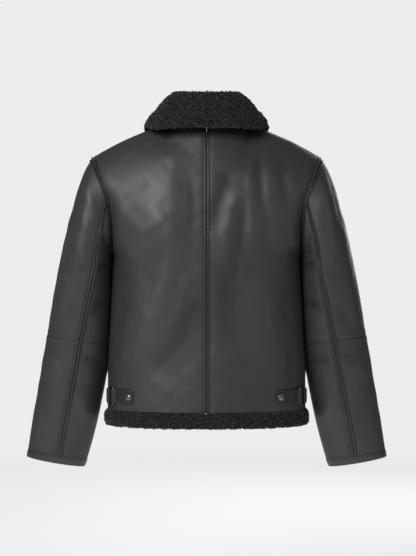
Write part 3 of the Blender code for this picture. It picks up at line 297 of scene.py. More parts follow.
def smooth(knots, values, at):
    """Cubic curve through the values at the knots."""
    knots = np.asarray(knots, float)
    values = np.asarray(values, float)
    at = np.asarray(at, float)
    slopes = np.gradient(values, knots, axis=0)
    cell = np.clip(np.searchsorted(knots, at) - 1, 0, len(knots) - 2)
    width = knots[cell + 1] - knots[cell]
    t = (at - knots[cell]) / width
    if values.ndim > 1:
        shape = t.shape + (1,) * (values.ndim - 1)
        t = t.reshape(shape)
        width = width.reshape(shape)
    h00 = 2 * t**3 - 3 * t**2 + 1
    h10 = t**3 - 2 * t**2 + t
    h01 = -2 * t**3 + 3 * t**2
    h11 = t**3 - t**2
    return (h00 * values[cell] + h10 * width * slopes[cell]
            + h01 * values[cell + 1] + h11 * width * slopes[cell + 1])


def unit(vectors):
    return vectors / np.maximum(np.linalg.norm(vectors, axis=-1, keepdims=True), 1e-12)


def fade(value, length):
    """0 at zero, rising smoothly to 1 at the length."""
    t = np.clip(value / length, 0, 1)
    return t * t * (3 - 2 * t)


def bell(value, width):
    return np.exp(-(value / width)**2)


def stroke(a, b, start, end, half_width):
    """Share of a fold at the points (a, b)."""
    ax, bx = start
    da, db = end[0] - ax, end[1] - bx
    length = math.hypot(da, db)
    along = ((a - ax) * da + (b - bx) * db) / length
    across = ((a - ax) * db - (b - bx) * da) / length
    beyond = np.maximum(np.maximum(-along, along - length), 0)
    return np.exp(-(across / half_width)**2 - (beyond / (1.3 * half_width))**2)


def fold(x, z, height, left, right, *points):
    """Height of one fold of the body at (x, z)."""
    line = smooth(np.arange(len(points)), points, np.linspace(0, len(points) - 1, 6 * len(points)))
    nearest, width, along = np.full(x.shape, np.inf), np.ones(x.shape), np.zeros(x.shape)
    for i, (start, step) in enumerate(zip(line, np.diff(line, axis=0))):
        share = np.clip(((x - start[0]) * step[0] + (z - start[1]) * step[1]) / (step @ step), 0, 1)
        dx, dz = x - start[0] - share * step[0], z - start[1] - share * step[1]
        closer = dx**2 + dz**2 < nearest
        nearest = np.where(closer, dx**2 + dz**2, nearest)
        width = np.where(closer, np.where(step[0] * dz > step[1] * dx, left, right), width)
        along = np.where(closer, (i + share) / (len(line) - 1), along)
    return height * np.exp(-nearest / width**2) * fade(along, 0.22) * fade(1 - along, 0.30)


def armhole(alpha_deg):
    alpha = np.radians(np.asarray(alpha_deg, float))
    up = np.where(np.sin(alpha) > 0, ARMHOLE_UP, ARMHOLE_DOWN)
    deep = np.where(np.cos(alpha) > 0, ARMHOLE_BACK, ARMHOLE_FRONT)
    y = deep * np.cos(alpha)
    z = ARMHOLE_Z + up * np.sin(alpha)
    lean = np.array(ARMHOLE_LEAN)
    return np.stack([smooth(lean[:, 0], lean[:, 1], z), y, z], axis=-1)


def neckline(face, turn):
    beta = np.radians(90 * np.asarray(turn, float))
    x = NECK_HALF_WIDTH * np.sin(beta)
    if face == "back":
        return np.stack([x, NECK_BACK_DEPTH * np.cos(beta), -NECK_BACK_DROP * np.cos(beta)], axis=-1)
    z = -NECK_FRONT_DROP * np.abs(np.cos(beta))**NECK_FRONT_POWER
    return np.stack([x, -NECK_FRONT_DEPTH * np.cos(beta), z], axis=-1)


def top_edge(face, u):
    out = np.clip((u - NECK_SHARE) / (1 - NECK_SHARE), 0, 1) * SHOULDER_LENGTH
    seam = np.stack([NECK_HALF_WIDTH + out, 0 * out, -(SHOULDER_SLOPE * out + SHOULDER_BEND * out**2)], axis=-1)
    neck = neckline(face, np.clip(u / NECK_SHARE, 0, 1))
    return np.where((u < NECK_SHARE)[..., None], neck, seam)


def torso_table(face):
    sign = 1 if face == "back" else -1
    armpit_z = TORSO_ROWS[-1][0]
    span = armpit_z - TORSO_ROWS[0][0]
    rows = []
    for z, half_width, back_depth, front_depth in TORSO_ROWS:
        depth = back_depth if face == "back" else front_depth
        rows.append((-(armpit_z - z) / span, z, z, half_width, 0.0, sign * depth, 90.0, 0.0))
    for angle, back_z, back_depth, front_z, front_depth, wrap, share in YOKE_ROWS:
        centre_z, depth = (back_z, back_depth) if face == "back" else (front_z, front_depth)
        side = armhole(angle if face == "back" else 180 - angle)
        rows.append(((angle + 90) / 180, centre_z, side[2], side[0], side[1], sign * depth, wrap, share))
    return np.array(rows)


TORSO_TABLE = {face: torso_table(face) for face in ("back", "front")}


def torso_sections(face, v, u):
    """Points of the left half at heights v (-1 hem, 0 armpit, 1 shoulder) and u (0 centre, 1 side),
    where u holds one row for each v."""
    table = TORSO_TABLE[face]
    rows = smooth(table[:, 0], table[:, 1:], v)
    above = v > 0
    angle = v[above] * 180 - 90
    side = armhole(angle if face == "back" else 180 - angle)
    rows[above, 1] = side[:, 2]
    rows[above, 2] = side[:, 0]
    rows[above, 3] = side[:, 1]
    rows[~above, 3] = 0
    rows[~above, 5] = 90
    grid = np.zeros((*u.shape, 3))
    for i, (z_centre, z_side, x_side, y_side, y_centre, wrap, share) in enumerate(rows):
        limit = math.radians(min(wrap, 90.0))
        phi = np.linspace(0, limit, 361)
        across = (np.sin(phi) / math.sin(limit))**SECTION_POWER
        depth = (np.cos(phi) - math.cos(limit)) / (1 - math.cos(limit))
        line = np.stack([x_side * across, y_side + (y_centre - y_side) * depth,
                         z_centre + (z_side - z_centre) * across**2], axis=-1)
        length = np.concatenate([[0], np.cumsum(np.linalg.norm(np.diff(line, axis=0), axis=1))])
        length /= length[-1]
        body = np.stack([np.interp(u[i], length, line[:, k]) for k in range(3)], axis=-1)
        share = min(max(share, 0.0), 1.0)
        grid[i] = (1 - share) * body + share * top_edge(face, u[i])
        grid[i, :, 2] += SHOULDER_ROUND * math.sin(math.pi * share) * fade(u[i], 0.4) * fade(1 - u[i], 0.25)
    return grid


def torso(face, v, u):
    """The sections, with the yoke running softly into the body below the armpit."""
    plain = torso_sections(face, v, u)
    soft, total = 0, 0
    for step in np.linspace(-1, 1, 9):
        weight = math.exp(-(1.6 * step)**2)
        soft = soft + weight * torso_sections(face, np.clip(v + step * YOKE_BLEND, -1, 1), u)
        total += weight
    share = fade(1 - u, 0.30) * fade(1 - np.abs(v), 0.35)[:, None]
    return plain + share[..., None] * (soft / total - plain)


def torso_normals(face, v, u):
    v0, v1 = np.clip(v - EPS, -1, 1), np.clip(v + EPS, -1, 1)
    u0, u1 = np.clip(u - 40 * EPS, 0, 1), np.clip(u + 40 * EPS, 0, 1)
    up = torso(face, v1, u) - torso(face, v0, u)
    out = torso(face, v, u1) - torso(face, v, u0)
    normals = unit(np.cross(up, out))
    return normals if face == "back" else -normals


def sleeve_knots(part, c):
    seam_back = [ARMHOLE_SEAM_DEG] + [row[6] for row in SLEEVE_RINGS]
    back, share = c >= 0, np.abs(c)
    rings = []
    for k, seam in enumerate(seam_back):
        seam_here = np.where(back, seam, FRONT_SEAM_DEG)
        if part == "top":
            theta = np.where(back, 1, -1) * share * seam_here
        else:
            theta = np.where(back, 180 - share * (180 - seam_here), -180 + share * (180 - seam_here))
        if k == 0:
            ring = armhole(90 - theta)
            ring[:, 0] += ARMHOLE_GAP
        else:
            outer_x, outer_z, inner_x, inner_z, half_depth, centre_y = SLEEVE_RINGS[k - 1][:6]
            turn = np.radians(theta)
            mix = (1 + np.cos(turn)) / 2
            ring = np.stack([inner_x + (outer_x - inner_x) * mix, centre_y + half_depth * np.sin(turn),
                             inner_z + (outer_z - inner_z) * mix], axis=-1)
        rings.append(ring)
    return np.array(rings)


def sleeve_angle(part, k, c):
    knots = np.arange(len(SLEEVE_RINGS) + 1)
    seam = smooth(knots, [ARMHOLE_SEAM_DEG] + [row[6] for row in SLEEVE_RINGS], k)[:, None]
    seam_here = np.where(c >= 0, seam, FRONT_SEAM_DEG)
    share = np.abs(c)[None, :]
    sign = np.where(c >= 0, 1, -1)[None, :]
    if part == "top":
        return sign * share * seam_here
    return sign * (180 - share * (180 - seam_here))


def sleeve(part, k, c):
    return smooth(np.arange(len(SLEEVE_RINGS) + 1), sleeve_knots(part, c), k)


def sleeve_normals(part, k, c):
    last = len(SLEEVE_RINGS)
    k0, k1 = np.clip(k - EPS, 0, last), np.clip(k + EPS, 0, last)
    c0 = np.where(c > 0, c - EPS, c)
    c1 = np.where(c > 0, c, c + EPS)
    down = sleeve(part, k1, c) - sleeve(part, k0, c)
    round_it = sleeve(part, k, c1) - sleeve(part, k, c0)
    normals = unit(np.cross(down, round_it))
    return normals if part == "top" else -normals


def collar_middle(stations, rows):
    """Middle surface of the collar's left half, from the neckline (row 0) to the edge (row 1)."""
    table = np.array(COLLAR_STATIONS)
    path = smooth(table[:, 0], table[:, 1:], stations)
    fold, edge = path[:, :3], path[:, 3:]
    back = stations <= 0.5
    turn = np.where(back, stations / 0.5, (1 - stations) / 0.5)
    start = math.degrees(math.asin(ZIP_OPENING_HALF / NECK_HALF_WIDTH)) / 90
    neck = np.where(back[:, None], neckline("back", turn), neckline("front", start + turn * (1 - start)))
    away = edge - fold
    away[:, 2] = 0
    away = unit(away)
    up = np.array([0, 0, 1.0])
    foot = neck - away * COLLAR_STAND_WALL / 2 + up * (COLLAR_SEAT + 0.001)
    stand = foot + 0.55 * (fold - foot) - 0.002 * away
    roll_in = fold - away * COLLAR_ROLL - up * 0.0055
    roll_out = fold + away * (COLLAR_ROLL + 0.0005) - up * 0.0055
    middle = (fold + edge) / 2 + 0.004 * away + 0.003 * up
    lines = np.stack([foot, stand, roll_in, fold, roll_out, middle, edge])
    knots = np.array([0, 0.22, 0.38, 0.46, 0.54, 0.76, 1.0])
    return np.swapaxes(smooth(knots, lines, rows), 0, 1)


def mirrored(points, side_sign):
    out = points.copy()
    out[..., 0] *= side_sign
    return out


def lengths_from(points, axis, end=False):
    """Distance along the surface from the first (or last) row or column."""
    steps = np.linalg.norm(np.diff(points, axis=axis), axis=-1)
    pad = [(0, 0), (0, 0)]
    pad[axis] = (1, 0)
    length = np.cumsum(np.pad(steps, pad), axis=axis)
    if end:
        length = np.take(length, [-1], axis=axis) - length
    return length


def at_distance(points, values, distances):
    """Values along each row at the distances from its first column."""
    length = lengths_from(points, 1)
    out = np.zeros((len(points), len(distances), values.shape[-1]))
    for r in range(len(points)):
        for k in range(values.shape[-1]):
            out[r, :, k] = np.interp(distances, length[r], values[r, :, k])
    return out


def hide_waves(points):
    height = np.zeros(points.shape[:2])
    for i, (x, y, z, length, rise) in enumerate(HIDE_WAVES):
        along = points @ unit(np.array([x, y, z]))
        height += rise * np.sin(2 * math.pi * along / length + 1.7 * i)
        height *= 1 + 0.25 * np.sin(2 * math.pi * points[..., 2] / 0.19 + i)
    return height


def seam_height(distance, along, phase=0.0):
    """A seam pulls the hide down and puckers it a little on both sides."""
    uneven = 1 + 0.5 * np.sin(2 * math.pi * along / 0.083 + phase)
    pucker = np.sin(2 * math.pi * along / PUCKER_PITCH + phase + 1.3 * np.sin(along / 0.031))
    return (-SEAM_DIP * bell(distance, SEAM_DIP_WIDTH)
            + PUCKER_HEIGHT * uneven * pucker * bell(distance, PUCKER_REACH))


# Meshes and pieces

def grid_mesh(name, points, outward=None, attributes=()):
    """A bmesh grid laid onto the points (rows, columns), facing the outward directions."""
    rows, columns = points.shape[:2]
    bm = bmesh.new()
    bmesh.ops.create_grid(bm, x_segments=columns - 1, y_segments=rows - 1, size=0.5)
    mesh = bpy.data.meshes.new(name)
    bm.to_mesh(mesh)
    bm.free()
    place = np.empty(len(mesh.vertices) * 3, np.float32)
    mesh.vertices.foreach_get("co", place)
    place = place.reshape(-1, 3)
    column = np.rint((place[:, 0] + 0.5) * (columns - 1)).astype(int)
    row = np.rint((place[:, 1] + 0.5) * (rows - 1)).astype(int)
    mesh.vertices.foreach_set("co", points[row, column].astype(np.float32).ravel())
    for label, values in attributes:
        layer = mesh.attributes.new(label, "FLOAT", "POINT")
        layer.data.foreach_set("value", values[row, column].astype(np.float32).ravel())
    mesh.update()
    if outward is not None:
        normals = np.empty(len(mesh.vertices) * 3, np.float32)
        mesh.vertices.foreach_get("normal", normals)
        if (normals.reshape(-1, 3) * outward[row, column]).sum() < 0:
            mesh.flip_normals()
    mesh.shade_smooth()
    return mesh


def loft_mesh(name, points, closed_path=False):
    """A tube through closed sections: rows run along it, columns round it. Its ends are closed."""
    rings = np.concatenate([points, points[:, :1]], axis=1)
    if closed_path:
        rings = np.concatenate([rings, rings[:1]])
    mesh = grid_mesh(name, rings)
    bm = bmesh.new()
    bm.from_mesh(mesh)
    bmesh.ops.remove_doubles(bm, verts=bm.verts[:], dist=2e-6)
    bmesh.ops.holes_fill(bm, edges=[edge for edge in bm.edges if edge.is_boundary], sides=0)
    bmesh.ops.recalc_face_normals(bm, faces=bm.faces[:])
    for face in bm.faces:
        face.smooth = True
    bm.to_mesh(mesh)
    bm.free()
    mesh.set_sharp_from_angle(angle=math.radians(60))
    return mesh


def add_piece(name, mesh, materials, replaced=(), body="jacket"):
    made = bpy.data.objects.new(name, mesh)
    for finish in materials:
        mesh.materials.append(finish)
    scene.collection.objects.link(made)
    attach(made, body)
    if replaced:
        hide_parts(*replaced)
    return made


def applied(made, sharp_deg=50):
    """Turns an object's modifiers into its mesh."""
    graph = bpy.context.evaluated_depsgraph_get()
    mesh = bpy.data.meshes.new_from_object(made.evaluated_get(graph))
    made.modifiers.clear()
    made.data = mesh
    mesh.shade_smooth()
    mesh.set_sharp_from_angle(angle=math.radians(sharp_deg))
    return made


def thicken(made, thickness, inner_material=1):
    wall = made.modifiers.new("wall", "SOLIDIFY")
    wall.thickness = thickness
    wall.offset = -1
    wall.material_offset = inner_material
    return applied(made)


def turns(normals, forward):
    """Euler angles that turn +Z onto the normals and +X towards forward."""
    x = unit(forward - np.sum(forward * normals, axis=-1, keepdims=True) * normals)
    y = np.cross(normals, x)
    return np.stack([np.arctan2(y[:, 2], normals[:, 2]), -np.arcsin(np.clip(x[:, 2], -1, 1)),
                     np.arctan2(x[:, 1], x[:, 0])], axis=-1)


def scatter_tree(template):
    tree = bpy.data.node_groups.new("scatter_" + template.name, "GeometryNodeTree")
    tree.interface.new_socket("Geometry", in_out="INPUT", socket_type="NodeSocketGeometry")
    tree.interface.new_socket("Geometry", in_out="OUTPUT", socket_type="NodeSocketGeometry")
    source = tree.nodes.new("NodeGroupInput")
    result = tree.nodes.new("NodeGroupOutput")
    info = tree.nodes.new("GeometryNodeObjectInfo")
    info.inputs["Object"].default_value = template
    copies = tree.nodes.new("GeometryNodeInstanceOnPoints")
    real = tree.nodes.new("GeometryNodeRealizeInstances")
    for label, socket in (("turn", "Rotation"), ("size", "Scale")):
        read = tree.nodes.new("GeometryNodeInputNamedAttribute")
        read.data_type = "FLOAT_VECTOR"
        read.inputs["Name"].default_value = label
        tree.links.new(read.outputs["Attribute"], copies.inputs[socket])
    tree.links.new(source.outputs[0], copies.inputs["Points"])
    tree.links.new(info.outputs["Geometry"], copies.inputs["Instance"])
    tree.links.new(copies.outputs["Instances"], real.inputs["Geometry"])
    tree.links.new(real.outputs["Geometry"], result.inputs[0])
    return tree


def scatter(name, template_mesh, places, directions, sizes):
    """One joined mesh with the template at every place."""
    template = bpy.data.objects.new(name + "_one", template_mesh)
    scene.collection.objects.link(template)
    mesh = bpy.data.meshes.new(name + "_places")
    mesh.vertices.add(len(places))
    mesh.vertices.foreach_set("co", places.astype(np.float32).ravel())
    for label, values in (("turn", directions), ("size", sizes)):
        layer = mesh.attributes.new(label, "FLOAT_VECTOR", "POINT")
        layer.data.foreach_set("vector", values.astype(np.float32).ravel())
    points = bpy.data.objects.new(name + "_points", mesh)
    scene.collection.objects.link(points)
    points.modifiers.new("copies", "NODES").node_group = scatter_tree(template)
    bpy.context.view_layer.update()
    graph = bpy.context.evaluated_depsgraph_get()
    joined = bpy.data.meshes.new_from_object(points.evaluated_get(graph))
    joined.name = name
    bpy.data.objects.remove(points, do_unlink=True)
    bpy.data.objects.remove(template, do_unlink=True)
    for label in ("turn", "size"):
        if label in joined.attributes:
            joined.attributes.remove(joined.attributes[label])
    return joined


# Materials

def node_group(name, inputs, outputs):
    tree = bpy.data.node_groups.new(name, "ShaderNodeTree")
    for label, kind, value in inputs:
        socket = tree.interface.new_socket(label, in_out="INPUT", socket_type=kind)
        socket.default_value = value
    for label, kind in outputs:
        tree.interface.new_socket(label, in_out="OUTPUT", socket_type=kind)
    return tree, tree.nodes.new("NodeGroupInput"), tree.nodes.new("NodeGroupOutput")


def math_node(tree, operation, a, b):
    made = tree.nodes.new("ShaderNodeMath")
    made.operation = operation
    for socket, value in zip(made.inputs, (a, b)):
        if isinstance(value, (int, float)):
            socket.default_value = value
        else:
            tree.links.new(value, socket)
    return made.outputs[0]


def noise_node(tree, vector, scale, detail=3.0, roughness=0.55):
    made = tree.nodes.new("ShaderNodeTexNoise")
    made.inputs["Scale"].default_value = scale
    made.inputs["Detail"].default_value = detail
    made.inputs["Roughness"].default_value = roughness
    tree.links.new(vector, made.inputs["Vector"])
    return made.outputs["Fac"]


def cell_node(tree, vector, scale, feature="F1"):
    made = tree.nodes.new("ShaderNodeTexVoronoi")
    made.feature = feature
    made.inputs["Scale"].default_value = scale
    tree.links.new(vector, made.inputs["Vector"])
    return made.outputs["Distance"]


def bump_node(tree, height, strength, distance, under=None):
    made = tree.nodes.new("ShaderNodeBump")
    made.inputs["Strength"].default_value = strength
    made.inputs["Distance"].default_value = distance
    tree.links.new(height, made.inputs["Height"])
    if under is not None:
        tree.links.new(under, made.inputs["Normal"])
    return made.outputs["Normal"]


def shade_node(tree, colour, factor):
    """The colour times a factor that changes over the surface."""
    made = tree.nodes.new("ShaderNodeVectorMath")
    made.operation = "SCALE"
    tree.links.new(colour, made.inputs[0])
    tree.links.new(factor, made.inputs["Scale"])
    return made.outputs[0]


def leather_group():
    """Hide with a fine pebbled grain, pores, faint wrinkles and a tone that wanders."""
    tree, given, result = node_group(
        "hide_grain",
        (("Colour", "NodeSocketColor", (0.03, 0.03, 0.032, 1)), ("Crest", "NodeSocketFloat", 0.0),
         ("Gloss", "NodeSocketFloat", 0.42)),
        (("Colour", "NodeSocketColor"), ("Roughness", "NodeSocketFloat"), ("Normal", "NodeSocketVector")))
    place = tree.nodes.new("ShaderNodeTexCoord").outputs["Object"]
    pebble = cell_node(tree, place, 820.0)
    grain = noise_node(tree, place, 420.0, 4.0, 0.6)
    mottle = noise_node(tree, place, 95.0, 5.0, 0.65)
    speck = noise_node(tree, place, 300.0, 3.0, 0.7)
    tone = noise_node(tree, place, 9.0, 3.0, 0.5)
    wrinkle = noise_node(tree, place, 46.0, 2.0, 0.5)
    # Tone: broad clouds, fine mottling, paler rubbed crests and painted shade that darkens the fold troughs
    factor = math_node(tree, "MULTIPLY_ADD", tone, 0.5)
    factor.node.inputs[2].default_value = 0.62
    fine = math_node(tree, "MULTIPLY_ADD", speck, 0.70)
    tree.links.new(factor, fine.node.inputs[2])
    # Fold height lightens the crests as rubbed wear and paints shade into the troughs
    rubbed_and_shaded = math_node(tree, "MULTIPLY_ADD", given.outputs["Crest"], 0.30)
    tree.links.new(math_node(tree, "SUBTRACT", fine, 0.15), rubbed_and_shaded.node.inputs[2])
    tree.links.new(shade_node(tree, given.outputs["Colour"], rubbed_and_shaded), result.inputs["Colour"])
    # Gloss: grain breaks it up, crests are rubbed smoother
    rough = math_node(tree, "MULTIPLY_ADD", speck, 0.22)
    tree.links.new(math_node(tree, "SUBTRACT", given.outputs["Gloss"], 0.11), rough.node.inputs[2])
    rough = math_node(tree, "SUBTRACT", rough, math_node(tree, "MULTIPLY", given.outputs["Crest"], 0.05))
    tree.links.new(rough, result.inputs["Roughness"])
    # Relief: wrinkles under grain under pebbles
    under = bump_node(tree, wrinkle, 0.35, 0.0012)
    over = bump_node(tree, grain, 0.40, 0.0005, under)
    tree.links.new(bump_node(tree, pebble, 0.45, 0.0003, over), result.inputs["Normal"])
    return tree


def pile_group():
    """Tightly curled wool: dark hollows between the curls and a fibrous surface."""
    tree, given, result = node_group(
        "wool_pile",
        (("Colour", "NodeSocketColor", (0.012, 0.012, 0.013, 1)), ("Scale", "NodeSocketFloat", 1.0)),
        (("Colour", "NodeSocketColor"), ("Normal", "NodeSocketVector")))
    place = tree.nodes.new("ShaderNodeTexCoord").outputs["Object"]
    scaled = tree.nodes.new("ShaderNodeVectorMath")
    scaled.operation = "SCALE"
    tree.links.new(place, scaled.inputs[0])
    tree.links.new(given.outputs["Scale"], scaled.inputs["Scale"])
    place = scaled.outputs[0]
    knots = cell_node(tree, place, 330.0)
    fibre = noise_node(tree, place, 900.0, 4.0, 0.7)
    clump = noise_node(tree, place, 38.0, 3.0, 0.6)
    factor = math_node(tree, "MULTIPLY_ADD", clump, 0.8)
    factor.node.inputs[2].default_value = 0.45
    factor = math_node(tree, "MULTIPLY_ADD", fibre, factor)
    factor.node.inputs[2].default_value = 0.25
    tree.links.new(shade_node(tree, given.outputs["Colour"], factor), result.inputs["Colour"])
    under = bump_node(tree, knots, 0.8, -0.002)
    tree.links.new(bump_node(tree, fibre, 0.7, 0.0008, under), result.inputs["Normal"])
    return tree


def brushed_group():
    """Polished metal with faint scratches and dull patches."""
    tree, given, result = node_group(
        "metal_wear",
        (("Gloss", "NodeSocketFloat", 0.25),),
        (("Roughness", "NodeSocketFloat"), ("Normal", "NodeSocketVector")))
    place = tree.nodes.new("ShaderNodeTexCoord").outputs["Object"]
    patch = noise_node(tree, place, 160.0, 3.0, 0.6)
    scratch = noise_node(tree, place, 2200.0, 2.0, 0.6)
    rough = math_node(tree, "MULTIPLY_ADD", patch, 0.16)
    tree.links.new(given.outputs["Gloss"], rough.node.inputs[2])
    tree.links.new(rough, result.inputs["Roughness"])
    tree.links.new(bump_node(tree, scratch, 0.15, 0.0001), result.inputs["Normal"])
    return tree


def blank_material(name):
    made = bpy.data.materials.new(name)
    made.use_nodes = True
    tree = made.node_tree
    return made, tree, tree.nodes["Principled BSDF"]


def grouped(tree, group, values):
    made = tree.nodes.new("ShaderNodeGroup")
    made.node_tree = group
    for label, value in values:
        made.inputs[label].default_value = value
    return made


HIDE = leather_group()
PILE = pile_group()
METAL_WEAR = brushed_group()


def leather_material(name, colour, gloss, specular=0.5):
    made, tree, shader = blank_material(name)
    hide = grouped(tree, HIDE, (("Colour", (*colour, 1)), ("Gloss", gloss)))
    crest = tree.nodes.new("ShaderNodeAttribute")
    crest.attribute_name = "crest"
    tree.links.new(crest.outputs["Fac"], hide.inputs["Crest"])
    tree.links.new(hide.outputs["Colour"], shader.inputs["Base Color"])
    tree.links.new(hide.outputs["Roughness"], shader.inputs["Roughness"])
    tree.links.new(hide.outputs["Normal"], shader.inputs["Normal"])
    shader.inputs["Specular IOR Level"].default_value = specular
    return made


def pile_material(name, colour, scale, sheen):
    made, tree, shader = blank_material(name)
    pile = grouped(tree, PILE, (("Colour", (*colour, 1)), ("Scale", scale)))
    tree.links.new(pile.outputs["Colour"], shader.inputs["Base Color"])
    tree.links.new(pile.outputs["Normal"], shader.inputs["Normal"])
    shader.inputs["Roughness"].default_value = 0.82
    shader.inputs["Specular IOR Level"].default_value = 0.25
    shader.inputs["Sheen Weight"].default_value = sheen
    shader.inputs["Sheen Roughness"].default_value = 0.5
    return made


def metal_material(name, colour, gloss):
    made, tree, shader = blank_material(name)
    wear = grouped(tree, METAL_WEAR, (("Gloss", gloss),))
    tree.links.new(wear.outputs["Roughness"], shader.inputs["Roughness"])
    tree.links.new(wear.outputs["Normal"], shader.inputs["Normal"])
    shader.inputs["Base Color"].default_value = (*colour, 1)
    shader.inputs["Metallic"].default_value = 1.0
    return made


def tape_material():
    """Woven tape: a fine herringbone from crossed waves."""
    made, tree, shader = blank_material("zip_tape_weave")
    place = tree.nodes.new("ShaderNodeTexCoord").outputs["Object"]
    wave = tree.nodes.new("ShaderNodeTexWave")
    wave.wave_type = "BANDS"
    wave.bands_direction = "DIAGONAL"
    wave.inputs["Scale"].default_value = 420.0
    wave.inputs["Distortion"].default_value = 0.4
    tree.links.new(place, wave.inputs["Vector"])
    ramp = tree.nodes.new("ShaderNodeValToRGB")
    ramp.color_ramp.elements[0].color = (0.008, 0.008, 0.009, 1)
    ramp.color_ramp.elements[1].color = (0.030, 0.030, 0.033, 1)
    tree.links.new(wave.outputs["Fac"], ramp.inputs["Fac"])
    tree.links.new(ramp.outputs["Color"], shader.inputs["Base Color"])
    tree.links.new(bump_node(tree, wave.outputs["Fac"], 0.5, 0.0003), shader.inputs["Normal"])
    shader.inputs["Roughness"].default_value = 0.85
    return made


def thread_material():
    made, tree, shader = blank_material("thread_twist")
    place = tree.nodes.new("ShaderNodeTexCoord").outputs["Object"]
    twist = noise_node(tree, place, 1500.0, 2.0)
    ramp = tree.nodes.new("ShaderNodeValToRGB")
    ramp.color_ramp.elements[0].color = (0.020, 0.020, 0.022, 1)
    ramp.color_ramp.elements[1].color = (0.075, 0.075, 0.080, 1)
    tree.links.new(twist, ramp.inputs["Fac"])
    tree.links.new(ramp.outputs["Color"], shader.inputs["Base Color"])
    tree.links.new(bump_node(tree, twist, 0.4, 0.0002), shader.inputs["Normal"])
    shader.inputs["Roughness"].default_value = 0.45
    return made


LEATHER = leather_material("jacket_leather", (0.028, 0.028, 0.0302), 0.50)
STRIP_LEATHER = leather_material("strip_leather", (0.026, 0.026, 0.028), 0.34)
TAB_LEATHER = leather_material("tab_leather", (0.012, 0.012, 0.013), 0.48)
WOOL = pile_material("inner_wool", (0.012, 0.012, 0.013), 1.0, 0.15)
FUR = pile_material("collar_fur", (0.022, 0.022, 0.0235), 1.0, 0.20)
# The backing between the curls is darker wool: painted shade deep in the pile
SHADED_FUR_ROOTS = pile_material("collar_fur_roots_painted_shade", (0.006, 0.006, 0.0065), 1.0, 0.05)
GUNMETAL = metal_material("dark_polished_metal", (0.16, 0.16, 0.165), 0.16)
STEEL = metal_material("snap_metal", (0.20, 0.20, 0.205), 0.18)
TAPE = tape_material()
THREAD = thread_material()


# Stitches

def stitch_mesh():
    bm = bmesh.new()
    bmesh.ops.create_uvsphere(bm, u_segments=6, v_segments=4, radius=1.0)
    bmesh.ops.rotate(bm, verts=bm.verts[:], matrix=Matrix.Rotation(math.radians(90), 3, "Y"))
    for face in bm.faces:
        face.smooth = True
    mesh = bpy.data.meshes.new("stitch")
    bm.to_mesh(mesh)
    bm.free()
    mesh.materials.append(THREAD)
    return mesh


class Seam:
    """Collects stitch places along lines, for one joined piece."""

    def __init__(self):
        self.places, self.normals, self.forward = [], [], []

    def add(self, line, normals, lift=0.0, pitch=STITCH_PITCH, slant_deg=0.0):
        length = np.concatenate([[0], np.cumsum(np.linalg.norm(np.diff(line, axis=0), axis=1))])
        at = np.arange(pitch, length[-1] - pitch / 2, pitch)
        place = np.stack([np.interp(at, length, line[:, k]) for k in range(3)], axis=-1)
        ahead = np.stack([np.interp(at + pitch / 3, length, line[:, k]) for k in range(3)], axis=-1)
        normal = unit(np.stack([np.interp(at, length, normals[:, k]) for k in range(3)], axis=-1))
        forward = unit(ahead - place)
        slant = math.radians(slant_deg)
        forward = math.cos(slant) * forward + math.sin(slant) * np.cross(normal, forward)
        self.places.append(place + lift * normal)
        self.normals.append(normal)
        self.forward.append(forward)

    def piece(self, name):
        places = np.concatenate(self.places)
        directions = turns(np.concatenate(self.normals), np.concatenate(self.forward))
        sizes = np.tile([STITCH_HALF_LENGTH, STITCH_RADIUS, STITCH_RADIUS], (len(places), 1))
        mesh = scatter(name, stitch_mesh(), places, directions, sizes)
        return add_piece(name, mesh, ())


# Back and front panels

TORSO_V = np.linspace(-1, 1, 190)
TORSO_COLUMNS = 78


def panel_grid(face):
    """u for every row: from the centre-back seam or the zip's edge to the side, closer near both."""
    t = np.linspace(0, 1, TORSO_COLUMNS)
    t = t - 0.35 * np.sin(2 * math.pi * t) / (2 * math.pi)
    u = np.tile(t, (len(TORSO_V), 1))
    if face == "front":
        dense = np.tile(np.linspace(0, 1, 201), (len(TORSO_V), 1))
        x = torso(face, TORSO_V, dense)[..., 0]
        first = np.array([np.interp(ZIP_OPENING_HALF, x[r], dense[r]) for r in range(len(x))])
        u = first[:, None] + (1 - first[:, None]) * u
    return u


def side_press(z):
    """Half of the air between the sleeve's inner line and the body's side, taken up by each."""
    v, k = np.linspace(-1, 0, 81), np.linspace(2.5, 10, 121)
    body = torso("back", v, np.ones((81, 1)))[:, 0]
    inner = sleeve("under", k, np.array([0.0]))[:, 0]
    air = np.interp(-z, -inner[:, 2], inner[:, 0]) - np.interp(z, body[:, 2], body[:, 0])
    return np.clip((air - PRESS_AIR) / 2, 0, 0.0025) * fade(-0.286 - z, 0.006) * fade(z + 0.565, 0.03)


def valley(alpha):
    """Depth of the hollow along the armhole at its angle."""
    return VALLEY_DEPTH * fade(alpha + 88, 35) * fade(30 - alpha, 50)


def panel_heights(face, side_sign, points, v, u):
    """Height of the hide over the smooth surface."""
    main, fine = (BACK_FOLDS, BACK_FINE_FOLDS) if face == "back" else (FRONT_FOLDS, FRONT_FINE_FOLDS)
    x, z = side_sign * points[..., 0], points[..., 2]
    calm = fade(1 - u, 0.16) * fade(v + 1, 0.30)[:, None] * fade(1 - v, 0.35)[:, None]
    folds = sum(fold(x, z, *row) for row in main + fine) * calm
    side = lengths_from(points, 1, end=True)
    folds += hide_waves(mirrored(points, side_sign)) * fade(1 - v, 0.1)[:, None] * fade(side, 0.03)
    centre = lengths_from(points, 1)
    down = lengths_from(points, 0)
    top = lengths_from(points, 0, end=True)
    seams = seam_height(side, down, 0.7 * side_sign) * (v > 0)[:, None]
    seams *= fade(top, 0.01)
    seams += side_press(points[:, -1, 2])[:, None] * bell(side, PRESS_WIDTH)
    if face == "back":
        seams += seam_height(centre, down, 2.1) * fade(top, 0.01)
    seams += -0.0009 * bell(top, 0.004) * (u > NECK_SHARE)
    return folds + seams, folds


PANELS = {}


